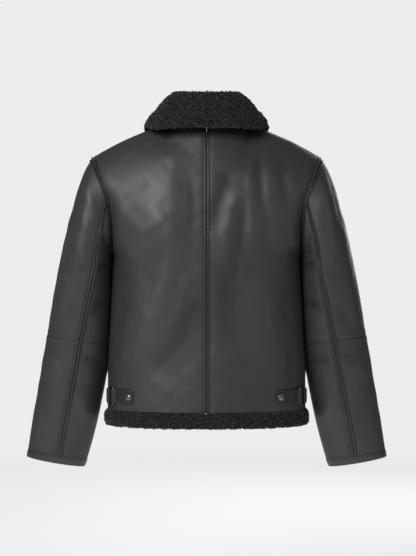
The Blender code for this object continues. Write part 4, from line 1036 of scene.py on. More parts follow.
def build_panel(face, side, side_sign):
    v, u = TORSO_V, panel_grid(face)
    smooth_points = torso(face, v, u)
    normals = torso_normals(face, v, u)
    heights, folds = panel_heights(face, side_sign, smooth_points, v, u)
    points = smooth_points + heights[..., None] * normals
    hollow = valley(v * 180 - 90)[:, None] * bell(lengths_from(smooth_points, 1, end=True), VALLEY_WIDTH)
    points[..., 1] += hollow if face == "front" else -hollow
    if face == "back":
        points[:, 0, 0] = SEAM_GAP / 2
    points, normals = mirrored(points, side_sign), mirrored(normals, side_sign)
    PANELS[face, side] = points, normals
    crest = np.clip(folds / 0.004, -1, 1)
    mesh = grid_mesh(face + "_" + side, points, normals, (("crest", crest),))
    made = add_piece(f"{face}_{side}_leather", mesh, (LEATHER, WOOL), (f"{face}_{side}",))
    thicken(made, LEATHER_WALL)
    mirrored(smooth_points, side_sign)
    return made


# Sleeves

SLEEVE_ROWS = {"upper": np.linspace(0, ELBOW_RING, 120), "lower": np.linspace(ELBOW_RING, CUFF_RING, 72)}
SLEEVE_COLUMNS = np.linspace(-1, 1, 61)
SLEEVE_FOLD_SIGN = {"left": 1.0, "right": 1.0}


def sleeve_heights(part, k, c, points, side_sign):
    theta = sleeve_angle(part, k, c)
    arc = np.radians(theta) * SLEEVE_MEAN_RADIUS
    length = np.broadcast_to((k * SLEEVE_RING_LENGTH)[:, None], theta.shape)
    main = np.zeros(theta.shape)
    for table in (SLEEVE_FOLDS, SLEEVE_FINE_FOLDS):
        for deg0, ring0, deg1, ring1, half_width, rise in table:
            start = (math.radians(deg0) * SLEEVE_MEAN_RADIUS, ring0 * SLEEVE_RING_LENGTH)
            end = (math.radians(deg1) * SLEEVE_MEAN_RADIUS, ring1 * SLEEVE_RING_LENGTH)
            main += rise * stroke(arc, length, start, end, half_width)
    seam = sleeve_angle("top", k, np.array([1.0]))
    stiff = 0.03 + 0.97 * fade(np.abs(theta - seam), 30)
    ends = fade(k, 1.5)[:, None] * fade(CUFF_RING - k, 1.0)[:, None]
    folds = main * fade(178 - np.abs(theta), 40) * stiff * ends
    inward = bell(np.radians(180 - np.abs(theta)) * SLEEVE_MEAN_RADIUS, PRESS_WIDTH)
    folds += hide_waves(mirrored(points, side_sign)) * ends * (1 - inward)
    return folds + side_press(sleeve("under", k, np.array([0.0]))[:, 0, 2])[:, None] * inward


def sleeve_skin(part, k, c, side_sign):
    points = sleeve(part, k, c)
    normals = sleeve_normals(part, k, c)
    folds = sleeve_heights(part, k, c, points, side_sign)
    raised = points + folds[..., None] * normals
    theta = sleeve_angle(part, k, c)
    hollow = valley(90 - np.abs(theta)) * bell(lengths_from(points, 0) + k[0] * SLEEVE_RING_LENGTH, VALLEY_WIDTH)
    raised[..., 1] -= np.sign(theta) * hollow
    return points, raised, normals, folds


def build_sleeve_panel(part, level, side, side_sign):
    k, c = SLEEVE_ROWS[level], SLEEVE_COLUMNS
    smooth_points, points, normals, folds = sleeve_skin(part, k, c, side_sign)
    down = lengths_from(smooth_points, 0)
    near = np.minimum(lengths_from(smooth_points, 1), lengths_from(smooth_points, 1, end=True))
    end_fade = fade(down, 0.008)
    dips = seam_height(near, down, 0.9 * side_sign) * end_fade
    if level == "upper":
        up = lengths_from(smooth_points, 0, end=True)
        dips += -0.0011 * bell(up, 0.0028)
        dips += 0.0004 * bell(up - 0.009, 0.005)
    else:
        dips += 0.0007 * fade(0.010 - down, 0.003)
        dips += -0.0006 * bell(down, 0.0012)
    points = mirrored(points + dips[..., None] * normals, side_sign)
    normals = mirrored(normals, side_sign)
    crest = np.clip(folds / 0.004, -1, 1)
    node = "_".join(("sleeve", part, level, side))
    mesh = grid_mesh(node, points, normals, (("crest", crest),))
    made = add_piece(node + "_leather", mesh, (LEATHER, WOOL), (node,))
    thicken(made, LEATHER_WALL)
    mirrored(smooth_points, side_sign)
    return points, normals


def build_cuff(side, side_sign):
    """A doubled leather band, a little proud of the sleeve, with rounded edges."""
    k = np.linspace(CUFF_RING + 0.01, CUFF_END_RING, 9)
    around = np.concatenate([SLEEVE_COLUMNS, SLEEVE_COLUMNS[::-1][1:-1]])
    half = len(SLEEVE_COLUMNS)
    points = np.concatenate([sleeve("top", k, around[:half]), sleeve("under", k, around[half:])], axis=1)
    normals = np.concatenate([sleeve_normals("top", k, around[:half]),
                              sleeve_normals("under", k, around[half:])], axis=1)
    share = np.linspace(0, 1, len(k))
    out = 0.0011 * np.sqrt(np.clip(1 - (2 * share - 1)**6, 0, 1))
    outer = points + out[:, None, None] * normals
    inner = points - (LEATHER_WALL - 0.0004 + out)[:, None, None] * normals
    rings = np.concatenate([outer, inner[::-1]])
    mesh = loft_mesh("cuff_" + side, np.swapaxes(mirrored(rings, side_sign), 0, 1), closed_path=True)
    made = add_piece(f"cuff_{side}_band", mesh, (STRIP_LEATHER,), ("cuff_" + side,))
    mirrored(points, side_sign)
    middle = len(k) // 2
    for row, sign in ((1, 1), (middle + 3, 1)):
        line = mirrored(outer[row] + 0.0001 * normals[row], side_sign)
        line = np.concatenate([line, line[:1]])
        direction = mirrored(normals[row], side_sign)
        STITCHES[side].add(line, np.concatenate([direction, direction[:1]]) * sign)


# Strips over the seams

STITCHES = {"left": Seam(), "right": Seam(), "body": Seam()}


def strip_heights(shares):
    """Height over the panel across a strip: two round ridges and the groove between them."""
    ridge = np.sin(math.pi * np.clip(np.abs(shares) / 0.98, 0, 1))**0.8
    low = np.where(np.abs(shares) < 0.5, STRIP_GROOVE_HEIGHT, STRIP_EDGE_HEIGHT)
    return low + (STRIP_RIDGE_HEIGHT - low) * ridge


def build_strip(name, base, normals, node, stitches):
    """base and normals: rows along the strip, columns across it."""
    shares = np.linspace(-1, 1, STRIP_COLUMNS)
    top = base + strip_heights(shares)[None, :, None] * normals
    bottom = base[:, ::-3] - 0.0006 * normals[:, ::-3]
    mesh = loft_mesh(name, np.concatenate([top, bottom], axis=1))
    made = add_piece(name, mesh, (STRIP_LEATHER,), (node,))
    for column in (1, STRIP_COLUMNS - 2):
        stitches.add(top[:, column], normals[:, column], 0.0002)
    return made


def straddle(left, left_normals, right, right_normals):
    """Lines across a seam from two panels whose first columns meet in it."""
    reach = np.linspace(0, STRIP_HALF_WIDTH, STRIP_COLUMNS // 2 + 1)
    halves = []
    for points, normals in ((left, left_normals), (right, right_normals)):
        halves.append((at_distance(points, points, reach), unit(at_distance(points, normals, reach))))
    middle = (halves[0][0][:, :1] + halves[1][0][:, :1]) / 2
    middle_normal = unit(halves[0][1][:, :1] + halves[1][1][:, :1])
    lift = 0.0008 * middle_normal
    base = np.concatenate([halves[0][0][:, :0:-1], middle + lift, halves[1][0][:, 1:]], axis=1)
    normals = np.concatenate([halves[0][1][:, :0:-1], middle_normal, halves[1][1][:, 1:]], axis=1)
    return base, unit(normals)


def build_centre_back_strip():
    left, left_normals = PANELS["back", "left"]
    right, right_normals = PANELS["back", "right"]
    rows = slice(1, len(TORSO_V) - 12)
    base, normals = straddle(left[rows], left_normals[rows], right[rows], right_normals[rows])
    tucked = base[:1] + np.array([0, -0.003, -0.005])
    base, normals = np.concatenate([tucked, base]), np.concatenate([normals[:1], normals])
    build_strip("centre_back_seam_strip", base, normals, "centre_back_strip", STITCHES["body"])


def build_sleeve_strip(side, side_sign):
    k = np.concatenate([SLEEVE_ROWS["upper"], SLEEVE_ROWS["lower"][1:]])
    c = np.linspace(1, 0.6, 9)
    _, top, top_normals, _ = sleeve_skin("top", k, c, side_sign)
    _, under, under_normals, _ = sleeve_skin("under", k, c, side_sign)
    base, normals = straddle(top, top_normals, under, under_normals)
    down = lengths_from(base, 0)[:, STRIP_COLUMNS // 2]
    first = np.searchsorted(down, ARMHOLE_STRIP_START + 2 * STRIP_HALF_WIDTH - 0.002)
    base, normals = mirrored(base[first:], side_sign), mirrored(normals[first:], side_sign)
    build_strip(f"sleeve_{side}_seam_strip", base, normals, "sleeve_strip_" + side, STITCHES[side])


def build_armhole_strip(side, side_sign):
    k = np.linspace(0, 2.5, 26)
    under_c = np.linspace(ARMHOLE_UNDER_SHARE, 1, 14)[:-1]
    top_c = np.linspace(-1, 1, 111)
    pieces = []
    for part, c in (("under", -under_c), ("top", top_c), ("under", under_c[::-1])):
        _, points, normals, _ = sleeve_skin(part, k, c, side_sign)
        pieces.append((points, normals))
    points = np.swapaxes(np.concatenate([piece[0] for piece in pieces], axis=1), 0, 1)
    normals = np.swapaxes(np.concatenate([piece[1] for piece in pieces], axis=1), 0, 1)
    reach = ARMHOLE_STRIP_START + STRIP_HALF_WIDTH * (1 + np.linspace(-1, 1, STRIP_COLUMNS))
    base = at_distance(points, points, reach)
    directions = unit(at_distance(points, normals, reach))
    base, directions = mirrored(base, side_sign), mirrored(directions, side_sign)
    build_strip(f"armhole_{side}_seam_strip", base, directions, "armhole_strip_" + side, STITCHES[side])


# Pile of the collar and the hem band

def curl_mesh():
    """A lock of wool: a tapering tube bent into an arch over its root."""
    bm = bmesh.new()
    made = bmesh.ops.create_circle(bm, cap_ends=False, segments=4, radius=CURL_THICK,
                                   matrix=Matrix.Translation((CURL_RADIUS, 0, 0)))
    spun = bmesh.ops.spin(bm, geom=made["verts"] + bm.edges[:], cent=(0, 0, 0), axis=(0, -1, 0),
                          dvec=(0, 0, 0), angle=math.radians(215), steps=4, use_duplicate=False)
    bmesh.ops.holes_fill(bm, edges=[edge for edge in bm.edges if edge.is_boundary], sides=0)
    last = [item for item in spun["geom_last"] if isinstance(item, bmesh.types.BMVert)]
    centre = sum((vert.co for vert in last), Vector()) / len(last)
    bmesh.ops.scale(bm, verts=last, vec=(0.45, 0.45, 0.45), space=Matrix.Translation(-centre))
    bmesh.ops.translate(bm, verts=bm.verts[:], vec=(0, 0, -0.0004))
    bmesh.ops.recalc_face_normals(bm, faces=bm.faces[:])
    for face in bm.faces:
        face.smooth = True
    mesh = bpy.data.meshes.new("curl")
    bm.to_mesh(mesh)
    bm.free()
    mesh.materials.append(FUR)
    return mesh


def spread(points, normals, pitch, seed, weight=None):
    """Evenly scattered places on a grid of points, none closer than most of the pitch."""
    rng = np.random.default_rng(seed)
    across = np.diff(points, axis=1)[:-1]
    down = np.diff(points, axis=0)[:, :-1]
    area = np.linalg.norm(np.cross(across, down), axis=-1)
    if weight is not None:
        area = area * weight[:-1, :-1]
    tries = int(5.0 * area.sum() / pitch**2)
    cell = rng.choice(area.size, tries, p=(area / area.sum()).ravel())
    row, column = np.divmod(cell, area.shape[1])
    a, b = rng.random((2, tries, 1))
    place = sum(share * grid for share, grid in (
        ((1 - a) * (1 - b), points[row, column]), (a * (1 - b), points[row + 1, column]),
        ((1 - a) * b, points[row, column + 1]), (a * b, points[row + 1, column + 1])))
    size = 0.80 * pitch
    taken, kept = {}, []
    for i, key in enumerate(map(tuple, np.floor(place / size).astype(int))):
        near = (taken.get((key[0] + x, key[1] + y, key[2] + z))
                for x in (-1, 0, 1) for y in (-1, 0, 1) for z in (-1, 0, 1))
        if all(j is None or np.sum((place[i] - place[j])**2) > size**2 for j in near):
            taken[key] = i
            kept.append(i)
    kept = np.array(kept)
    return place[kept], unit(normals[row[kept], column[kept]])


def curls(name, points, normals, pitch, seed, weight=None):
    places, up = spread(points, normals, pitch, seed, weight)
    rng = np.random.default_rng(seed + 1)
    forward = unit(rng.normal(size=places.shape))
    up = unit(up + 0.35 * rng.normal(size=places.shape))
    sizes = rng.uniform(0.75, 1.30, (len(places), 1)) * rng.uniform(0.85, 1.2, (len(places), 3))
    mesh = scatter(name, curl_mesh(), places, turns(up, forward), sizes)
    made = add_piece(name, mesh, ())
    return made


def bumpy(points, normals, height, scale):
    """Lumps of curled wool over a surface."""
    out = points.copy()
    for index in np.ndindex(points.shape[:2]):
        place = Vector(points[index]) * scale
        lump = noise.noise(place) + 0.6 * noise.noise(place * 2.3)
        out[index] += height * lump * normals[index]
    return out


def collar_skins():
    """Fur side and hidden side of the whole collar, from the right front round the back to the left."""
    stations = np.linspace(0, 1, 121)
    rows = np.concatenate([np.linspace(0, 0.36, 14), np.linspace(0.37, 0.57, 18), np.linspace(0.58, 1, 34)])
    step = 0.002
    middle = collar_middle(stations, rows)
    along = (collar_middle(np.clip(stations + step, 0, 1), rows)
             - collar_middle(np.clip(stations - step, 0, 1), rows))
    across = (collar_middle(stations, np.clip(rows + step, 0, 1))
              - collar_middle(stations, np.clip(rows - step, 0, 1)))
    normals = unit(np.cross(across, along))
    normals[0, :, 0] = 0
    normals = unit(normals)
    wall = np.interp(rows, [0, 0.4, 0.6, 0.93, 1], [COLLAR_STAND_WALL, 0.009, COLLAR_FALL_WALL,
                                                    COLLAR_FALL_WALL, 0.006])
    fold_row = np.searchsorted(rows, 0.46)
    sign = 1 if normals[:, fold_row, 2].mean() > 0 else -1
    half = (wall / 2 - PILE_DEPTH)[None, :, None]
    groove = -COLLAR_GROOVE * bell(rows - COLLAR_RIM, 0.035) + 0.0012 * bell(rows - 0.9, 0.07)
    uneven = 0.75 + 0.35 * np.sin(stations * 23.0) * np.sin(stations * 9.0 + 1.0)
    fur = middle + sign * normals * (half + (groove[None, :] * uneven[:, None])[..., None])
    hidden = middle - sign * normals * half
    whole = [np.concatenate([mirrored(skin[1:][::-1], -1), skin])
             for skin in (fur, hidden, sign * normals)]
    return (*whole, rows, np.concatenate([-stations[1:][::-1], stations]))


def build_collar():
    fur, hidden, outward, rows, stations = collar_skins()
    fur = bumpy(fur, outward, 0.0011, 210.0)
    loop = np.concatenate([fur, hidden[:, ::-1]], axis=1)
    mesh = loft_mesh("collar_backing", loop)
    # The backing shows between the curls in the darker wool that paints shade into the pile
    backing = add_piece("collar_fur_backing", mesh, (SHADED_FUR_ROOTS,), ("collar",))
    shown = rows > 0.50
    show = curls("collar_curls", fur[:, shown], outward[:, shown], CURL_PITCH, SEED)
    inside = rows < 0.52
    inner = curls("collar_inner_curls", fur[:, inside], outward[:, inside], CURL_PITCH * 1.25, SEED + 10)
    edge_row = [-3, -2, -1]
    edge = np.concatenate([fur[:, edge_row], hidden[:, [-1, -2]]], axis=1)
    direction = fur[:, -1] - fur[:, -3]
    edge_out = np.repeat(unit(direction)[:, None], edge.shape[1], axis=1)
    rim = curls("collar_rim_curls", edge, edge_out, CURL_PITCH, SEED + 20)


def hem_line(count):
    """Outer points and outward directions of the hem, from the left front edge round the back."""
    u = np.linspace(0, 1, count + 1)[None, :]
    v = np.array([-1.0])
    halves = []
    for face in ("front", "back"):
        halves.append((torso(face, v, u)[0], torso_normals(face, v, u)[0]))
    (front, front_n), (back, back_n) = halves
    keep = front[:, 0] > ZIP_OPENING_HALF
    left = np.concatenate([front[keep], back[::-1][1:]])
    left_n = np.concatenate([front_n[keep], back_n[::-1][1:]])
    points = np.concatenate([left, mirrored(left[::-1][1:], -1)])
    normals = np.concatenate([left_n, mirrored(left_n[::-1][1:], -1)])
    normals[:, 2] = 0
    return points, unit(normals)


def build_hem_band():
    points, normals = hem_line(110)
    height = HEM_BAND_TOP - HEM_BAND_BOTTOM
    turn = np.linspace(0, math.pi, 26)
    out = (HEM_BAND_PROUD + WALL - PILE_DEPTH) * np.abs(np.sin(turn))**0.42 - WALL
    share = (1 - np.cos(turn)) / 2
    drop = np.array([0, 0, 1.0]) * (share * (height - 2 * PILE_DEPTH) + PILE_DEPTH)[:, None]
    foot = points.copy()
    foot[:, 2] = HEM_BAND_TOP
    outer = foot[:, None] + out[None, :, None] * normals[:, None] - drop[None]
    outward = np.repeat(normals[:, None], len(turn), axis=1) * np.sin(turn)[None, :, None]
    outward[..., 2] = np.cos(turn)[None, :]
    outward = unit(outward)
    outer = bumpy(outer, outward, 0.0010, 210.0)
    inside = foot[:, None] - (WALL - 0.0005) * normals[:, None] - drop[None, ::-5]
    mesh = loft_mesh("hem_backing", np.concatenate([outer, inside], axis=1))
    # The backing shows between the curls in the darker wool that paints shade into the pile
    backing = add_piece("hem_fur_backing", mesh, (SHADED_FUR_ROOTS,), ("hem_band",))
    parts = curls("hem_curls", outer[:, 1:], outward[:, 1:], CURL_PITCH, SEED + 30)


# Zip

def front_profile(z):
    v = np.linspace(-1, 1, 401)
    line = torso("front", v, np.zeros((401, 1)))[:, 0]
    return np.interp(z, line[:, 2], line[:, 1])


def build_tapes():
    z = np.linspace(ZIP_BOTTOM, ZIP_TOP, 140)
    y = front_profile(np.maximum(z, HEM_BAND_TOP))
    x = np.linspace(TAPE_INNER_X, TAPE_OUTER_X, 9)
    lean = np.linspace(0, 0.0016, 9)
    for side, side_sign in SIDES:
        points = np.stack([np.broadcast_to(x, (len(z), len(x))), y[:, None] + TAPE_SINK + lean + 0.0002,
                           np.broadcast_to(z[:, None], (len(z), len(x)))], axis=-1)
        points = mirrored(points, side_sign)
        outward = np.broadcast_to(np.array([0, -1.0, 0]), points.shape)
        mesh = grid_mesh("zip_tape_" + side, points, outward)
        made = add_piece(f"zip_tape_{side}_woven", mesh, (TAPE, TAPE), ("zip_tape_" + side,))
        thicken(made, TAPE_THICK, 0)


def tooth_mesh():
    bm = bmesh.new()
    bmesh.ops.create_cube(bm, size=1, matrix=Matrix.Diagonal((0.0046, 0.0017, 0.0013, 1)))
    bmesh.ops.bevel(bm, geom=bm.edges[:], offset=0.0003, offset_type="OFFSET", segments=1, profile=0.5,
                    affect="EDGES", material=-1)
    for face in bm.faces:
        face.smooth = True
    mesh = bpy.data.meshes.new("tooth")
    bm.to_mesh(mesh)
    bm.free()
    mesh.set_sharp_from_angle(angle=math.radians(30))
    mesh.materials.append(GUNMETAL)
    return mesh


def build_chain():
    z = np.arange(ZIP_BOTTOM + 0.002, SLIDER_Z - 0.009, TOOTH_PITCH / 2)
    side = np.where(np.arange(len(z)) % 2 == 0, 1, -1)
    y = front_profile(np.maximum(z, HEM_BAND_TOP)) + CHAIN_SINK
    places = np.stack([side * 0.0014, y, z], axis=-1)
    directions = np.zeros(places.shape)
    sizes = np.ones(places.shape)
    mesh = scatter("zip_teeth", tooth_mesh(), places, directions, sizes)
    add_piece("zip_teeth", mesh, (), ("zip_chain",))


# Waist tabs

def tab_section():
    """Outer line at the tab's height, from the centre back round the left side to the front."""
    v = np.array([np.interp(TAB_Z, [TORSO_ROWS[0][0], TORSO_ROWS[-1][0]], [-1, 0])])
    u = np.linspace(0, 1, 401)[None, :]
    back, front = torso("back", v, u)[0], torso("front", v, u)[0]
    line = np.concatenate([back, front[::-1][1:]])
    line[:, 2] = TAB_Z
    tangents = np.gradient(line, axis=0)
    tangents[:, 2] = 0
    tangents = unit(tangents)
    normals = np.stack([-tangents[:, 1], tangents[:, 0], 0 * tangents[:, 0]], axis=-1)
    length = np.concatenate([[0], np.cumsum(np.linalg.norm(np.diff(line, axis=0), axis=1))])
    return length, line, normals


def section_at(section, s):
    length, line, normals = section
    point = np.array([np.interp(s, length, line[:, k]) for k in range(3)])
    return point, unit(np.array([np.interp(s, length, normals[:, k]) for k in range(3)]))


def strap_path(section, bar_s, tip_s):
    """Middle line of a strap and its outward directions: round the ring's bar, then along the cloth."""
    bar_point, bar_normal = section_at(section, bar_s)
    radius = RING_WIRE + LOOP_CLEARANCE + TAB_THICK / 2
    centre_out = TAB_LIFT + RING_WIRE + LOOP_CLEARANCE + TAB_THICK
    centre = bar_point + bar_normal * centre_out
    ahead = 1 if tip_s > bar_s else -1
    tangent = np.array([bar_normal[1], -bar_normal[0], 0]) * ahead
    loop, loop_out = [], []
    for a in np.radians(np.arange(-250, 91, 20)):
        direction = -math.cos(a) * tangent + math.sin(a) * bar_normal
        loop.append(centre + radius * direction)
        loop_out.append(direction)
    for i, s in enumerate(np.linspace(bar_s, tip_s, 40)[1:]):
        point, normal = section_at(section, s)
        settle = fade(np.array(abs(s - bar_s) - 0.001), 0.007)
        out = (1 - settle) * (centre_out + radius) + settle * (TAB_LIFT + TAB_THICK / 2 + 0.0002)
        loop.append(point + normal * out)
        loop_out.append(normal)
    return np.array(loop), unit(np.array(loop_out)), centre


def build_strap(name, node, side_sign, path, outward, stitches):
    """Flat leather strap across the path, with a rounded tip and softened edges."""
    length = np.concatenate([[0], np.cumsum(np.linalg.norm(np.diff(path, axis=0), axis=1))])
    to_tip = length[-1] - length
    corner = 0.005
    inset = np.where(to_tip < corner, corner - np.sqrt(np.maximum(corner**2 - (corner - to_tip)**2, 0)), 0)
    half = TAB_HEIGHT / 2 - inset
    share = np.linspace(-1, 1, 25)
    share = np.sign(share) * np.abs(share)**0.8
    base = path[:, None] + (share[None, :] * half[:, None])[..., None] * np.array([0, 0, 1.0])
    edge = (1 - np.abs(share)) * TAB_HEIGHT / 2
    round_off = -0.0006 * bell(edge, 0.0010)[None, :] - 0.0006 * bell(to_tip, 0.0010)[:, None]
    groove = -0.0003 * bell(edge - 0.0030, 0.0006)[None, :] - 0.0003 * bell(to_tip - 0.003, 0.0006)[:, None]
    top = base + (TAB_THICK / 2 + round_off + groove)[..., None] * outward[:, None]
    bottom = base - (TAB_THICK / 2 - 0.0002 + round_off)[..., None] * outward[:, None]
    loop = mirrored(np.concatenate([top, bottom[:, ::-1]], axis=1), side_sign)
    made = add_piece(name, loft_mesh(name, loop), (TAB_LEATHER,), (node,))
    mirrored(base, side_sign)
    direction = mirrored(outward, side_sign)
    cloth = length > 0.022
    inner = cloth & (to_tip > 0.003)
    lines = [path + np.array([0, 0, sign * (TAB_HEIGHT / 2 - 0.0030)]) for sign in (-1, 1)]
    for line in lines:
        line = mirrored(line + (TAB_THICK / 2 - 0.0001) * outward, side_sign)
        stitches.add(line[inner], direction[inner], pitch=0.0032)
    tip = np.searchsorted(length, length[-1] - 0.0030)
    upright = np.linspace(-TAB_HEIGHT / 2 + 0.003, TAB_HEIGHT / 2 - 0.003, 20)
    line = path[tip] + upright[:, None] * np.array([0, 0, 1.0]) + (TAB_THICK / 2 - 0.0001) * outward[tip]
    stitches.add(mirrored(line, side_sign), np.tile(direction[tip], (20, 1)), pitch=0.0032)
    return made


def build_ring(side, side_sign, bars):
    """Rectangular ring of round wire with rounded corners."""
    middle = (bars[0] + bars[1]) / 2
    across = bars[1] - bars[0]
    half_width = np.linalg.norm(across) / 2
    across = across / (2 * half_width)
    corner = 0.0034
    path = []
    centres = ((half_width - corner, RING_HEIGHT / 2 - corner), (-half_width + corner, RING_HEIGHT / 2 - corner),
               (-half_width + corner, -RING_HEIGHT / 2 + corner), (half_width - corner, -RING_HEIGHT / 2 + corner))
    for quarter, (a, b) in enumerate(centres):
        for step in range(9):
            turn = math.radians(90 * quarter + 11.25 * step)
            path.append((a + corner * math.cos(turn), b + corner * math.sin(turn)))
    path = np.array(path)
    line = middle + path[:, :1] * across
    line[:, 2] = TAB_Z + path[:, 1]
    ahead = unit(np.roll(line, -1, axis=0) - np.roll(line, 1, axis=0))
    flat_normal = unit(np.cross(across, np.array([0, 0, 1.0])))
    sideways = np.cross(ahead, flat_normal)
    turn = np.radians(np.arange(0, 360, 30))
    tube = (line[:, None] + RING_WIRE * (np.cos(turn)[None, :, None] * flat_normal
                                         + np.sin(turn)[None, :, None] * sideways[:, None]))
    mesh = loft_mesh("ring_" + side, mirrored(tube, side_sign), closed_path=True)
    add_piece(f"tab_ring_{side}_wire", mesh, (GUNMETAL,), ("tab_ring_" + side,))


def build_snap(side, side_sign, section, tip_s):
    """Domed snap cap with a rolled rim, turned from its profile."""
    point, normal = section_at(section, tip_s + SNAP_FROM_TIP)
    profile = ((0.0, 0.0030), (0.0022, 0.0029), (0.0042, 0.0024), (0.0056, 0.0016), (0.0060, 0.0011),
               (0.0066, 0.0013), (0.0073, 0.0010), (0.0075, 0.0004), (0.0072, 0.0), (0.0, 0.0))
    bm = bmesh.new()
    verts = [bm.verts.new((radius, 0, height)) for radius, height in profile]
    edges = [bm.edges.new(pair) for pair in zip(verts, verts[1:])]
    bmesh.ops.spin(bm, geom=verts + edges, cent=(0, 0, 0), axis=(0, 0, 1), dvec=(0, 0, 0),
                   angle=math.radians(360), steps=36, use_merge=True, use_duplicate=False)
    bmesh.ops.remove_doubles(bm, verts=bm.verts[:], dist=1e-6)
    bmesh.ops.recalc_face_normals(bm, faces=bm.faces[:])
    place = point + normal * (TAB_LIFT + TAB_THICK + SEAM_GAP)
    place[0] *= side_sign
    direction = Vector((side_sign * normal[0], normal[1], 0))
    turn = direction.to_track_quat("Z", "Y").to_matrix().to_4x4()
    bmesh.ops.transform(bm, matrix=Matrix.Translation(Vector(place)) @ turn, verts=bm.verts[:])
    for face in bm.faces:
        face.smooth = True
    mesh = bpy.data.meshes.new("snap_" + side)
    bm.to_mesh(mesh)
    bm.free()
    mesh.set_sharp_from_angle(angle=math.radians(50))
    add_piece(f"tab_snap_{side}_cap", mesh, (STEEL,), ("tab_snap_" + side,))


def build_tab(side, side_sign):
    section = tab_section()
    length, line, _ = section
    on_back = line[:, 1] >= 0
    centre_s = float(np.interp(RING_CENTRE_X, line[on_back, 0], length[on_back]))
    tip_s = float(np.interp(TAB_TIP_X[side], line[on_back, 0], length[on_back]))
    half = RING_BAR_SPACING / 2
    bars = []
    for kind, bar_s, end_s in (("strap", centre_s - half, tip_s),
                               ("anchor", centre_s + half, centre_s + half + ANCHOR_LENGTH)):
        path, outward, centre = strap_path(section, bar_s, end_s)
        build_strap(f"tab_{kind}_{side}_leather", f"tab_{kind}_{side}", side_sign, path, outward,
                    STITCHES[side])
        bars.append(centre)
    build_ring(side, side_sign, bars)
    build_snap(side, side_sign, section, tip_s)


# Building the jacket

for face in ("back", "front"):
    for side, side_sign in SIDES:
        build_panel(face, side, side_sign)
for side, side_sign in SIDES:
    for part in ("top", "under"):
        for level in ("upper", "lower"):
            points, normals = build_sleeve_panel(part, level, side, side_sign)
            if level == "lower":
                STITCHES[side].add(points[3], normals[3], 0.0002)
    build_cuff(side, side_sign)
    build_sleeve_strip(side, side_sign)
    build_armhole_strip(side, side_sign)
    build_tab(side, side_sign)
build_centre_back_strip()
build_collar()
build_hem_band()
build_tapes()
build_chain()
for label, stitches in STITCHES.items():
    stitches.piece(f"stitches_{label}")
for node in ("zip_slider", "zip_pull"):
    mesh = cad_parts[node].data
    mesh.materials.clear()
    mesh.materials.append(GUNMETAL)


# Floor, lights and camera

CAMERA_PLACE = (-0.0030, 3.5, -0.3432)
PICTURE_HEIGHT = 1.2232     # metres seen at the origin's distance
SENSOR = 24.0
FLOOR_Z = -1.150
BACKGROUND = (0.843, 0.843, 0.851)


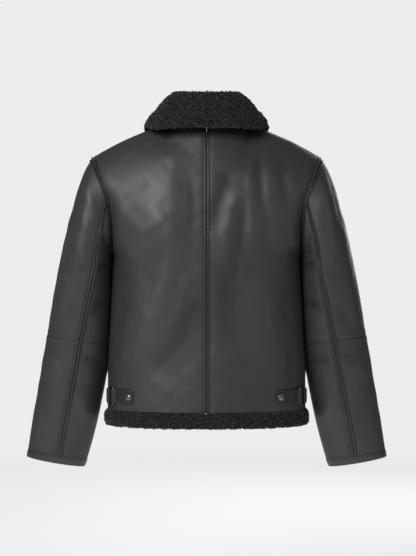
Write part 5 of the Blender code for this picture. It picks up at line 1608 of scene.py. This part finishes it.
def build_floor():
    """A pale floor that fades into the background at its far edge."""
    bm = bmesh.new()
    bmesh.ops.create_circle(bm, cap_ends=True, segments=96, radius=9.0)
    bmesh.ops.translate(bm, verts=bm.verts[:], vec=(0, 0, FLOOR_Z))
    mesh = bpy.data.meshes.new("floor")
    bm.to_mesh(mesh)
    bm.free()
    made, tree, shader = blank_material("pale_floor")
    place = tree.nodes.new("ShaderNodeTexCoord").outputs["Object"]
    cloud = noise_node(tree, place, 0.7, 2.0)
    ramp = tree.nodes.new("ShaderNodeValToRGB")
    ramp.color_ramp.elements[0].color = (0.56, 0.56, 0.57, 1)
    ramp.color_ramp.elements[1].color = (0.60, 0.60, 0.61, 1)
    tree.links.new(cloud, ramp.inputs["Fac"])
    tree.links.new(ramp.outputs["Color"], shader.inputs["Base Color"])
    shader.inputs["Roughness"].default_value = 0.9
    shader.inputs["Specular IOR Level"].default_value = 0.1
    shader.inputs["Emission Color"].default_value = (0.99, 0.99, 1.0, 1)
    shader.inputs["Emission Strength"].default_value = 0.50
    radius = tree.nodes.new("ShaderNodeVectorMath")
    radius.operation = "LENGTH"
    tree.links.new(place, radius.inputs[0])
    edge = tree.nodes.new("ShaderNodeMapRange")
    edge.interpolation_type = "SMOOTHSTEP"
    edge.inputs["From Min"].default_value = 1.2
    edge.inputs["From Max"].default_value = 4.5
    edge.inputs["To Min"].default_value = 1.0
    edge.inputs["To Max"].default_value = 0.0
    tree.links.new(radius.outputs["Value"], edge.inputs["Value"])
    tree.links.new(edge.outputs["Result"], shader.inputs["Alpha"])
    mesh.materials.append(made)
    floor = bpy.data.objects.new("floor", mesh)
    scene.collection.objects.link(floor)


def build_world():
    world = bpy.data.worlds.new("studio")
    world.use_nodes = True
    scene.world = world
    tree = world.node_tree
    shown = tree.nodes["Background"]
    shown.inputs["Color"].default_value = (*BACKGROUND, 1)
    shown.inputs["Strength"].default_value = 1.0
    ambient = tree.nodes.new("ShaderNodeBackground")
    ambient.inputs["Color"].default_value = (0.90, 0.93, 1.0, 1)
    ambient.inputs["Strength"].default_value = 0.16
    rays = tree.nodes.new("ShaderNodeLightPath")
    mix = tree.nodes.new("ShaderNodeMixShader")
    tree.links.new(rays.outputs["Is Camera Ray"], mix.inputs["Fac"])
    tree.links.new(ambient.outputs["Background"], mix.inputs[1])
    tree.links.new(shown.outputs["Background"], mix.inputs[2])
    tree.links.new(mix.outputs["Shader"], tree.nodes["World Output"].inputs["Surface"])


def add_area(name, place, aim, size, power, colour=(1, 1, 1)):
    light = bpy.data.lights.new(name, "AREA")
    light.shape = "RECTANGLE"
    light.size, light.size_y = size
    light.energy = power
    light.color = colour
    made = bpy.data.objects.new(name, light)
    made.location = place
    made.rotation_euler = (Vector(aim) - Vector(place)).to_track_quat("-Z", "Y").to_euler()
    scene.collection.objects.link(made)


def build_lights():
    add_area("key", (1.7, 2.6, 1.4), (0, 0, -0.25), (1.7, 2.0), 102)
    add_area("fill", (-2.4, 2.2, 0.4), (0, 0, -0.4), (1.6, 2.0), 9)
    add_area("front_soft", (-0.8, -2.8, 0.6), (0, 0, -0.3), (2.0, 2.0), 40)


def build_camera():
    data = bpy.data.cameras.new("camera")
    data.sensor_fit = "VERTICAL"
    data.sensor_height = SENSOR
    data.lens = SENSOR * CAMERA_PLACE[1] / PICTURE_HEIGHT
    camera = bpy.data.objects.new("camera", data)
    camera.location = CAMERA_PLACE
    camera.rotation_euler = (math.radians(90), 0, math.radians(180))
    scene.collection.objects.link(camera)
    scene.camera = camera


build_floor()
build_world()
build_lights()
build_camera()
scene.view_settings.view_transform = "Standard"
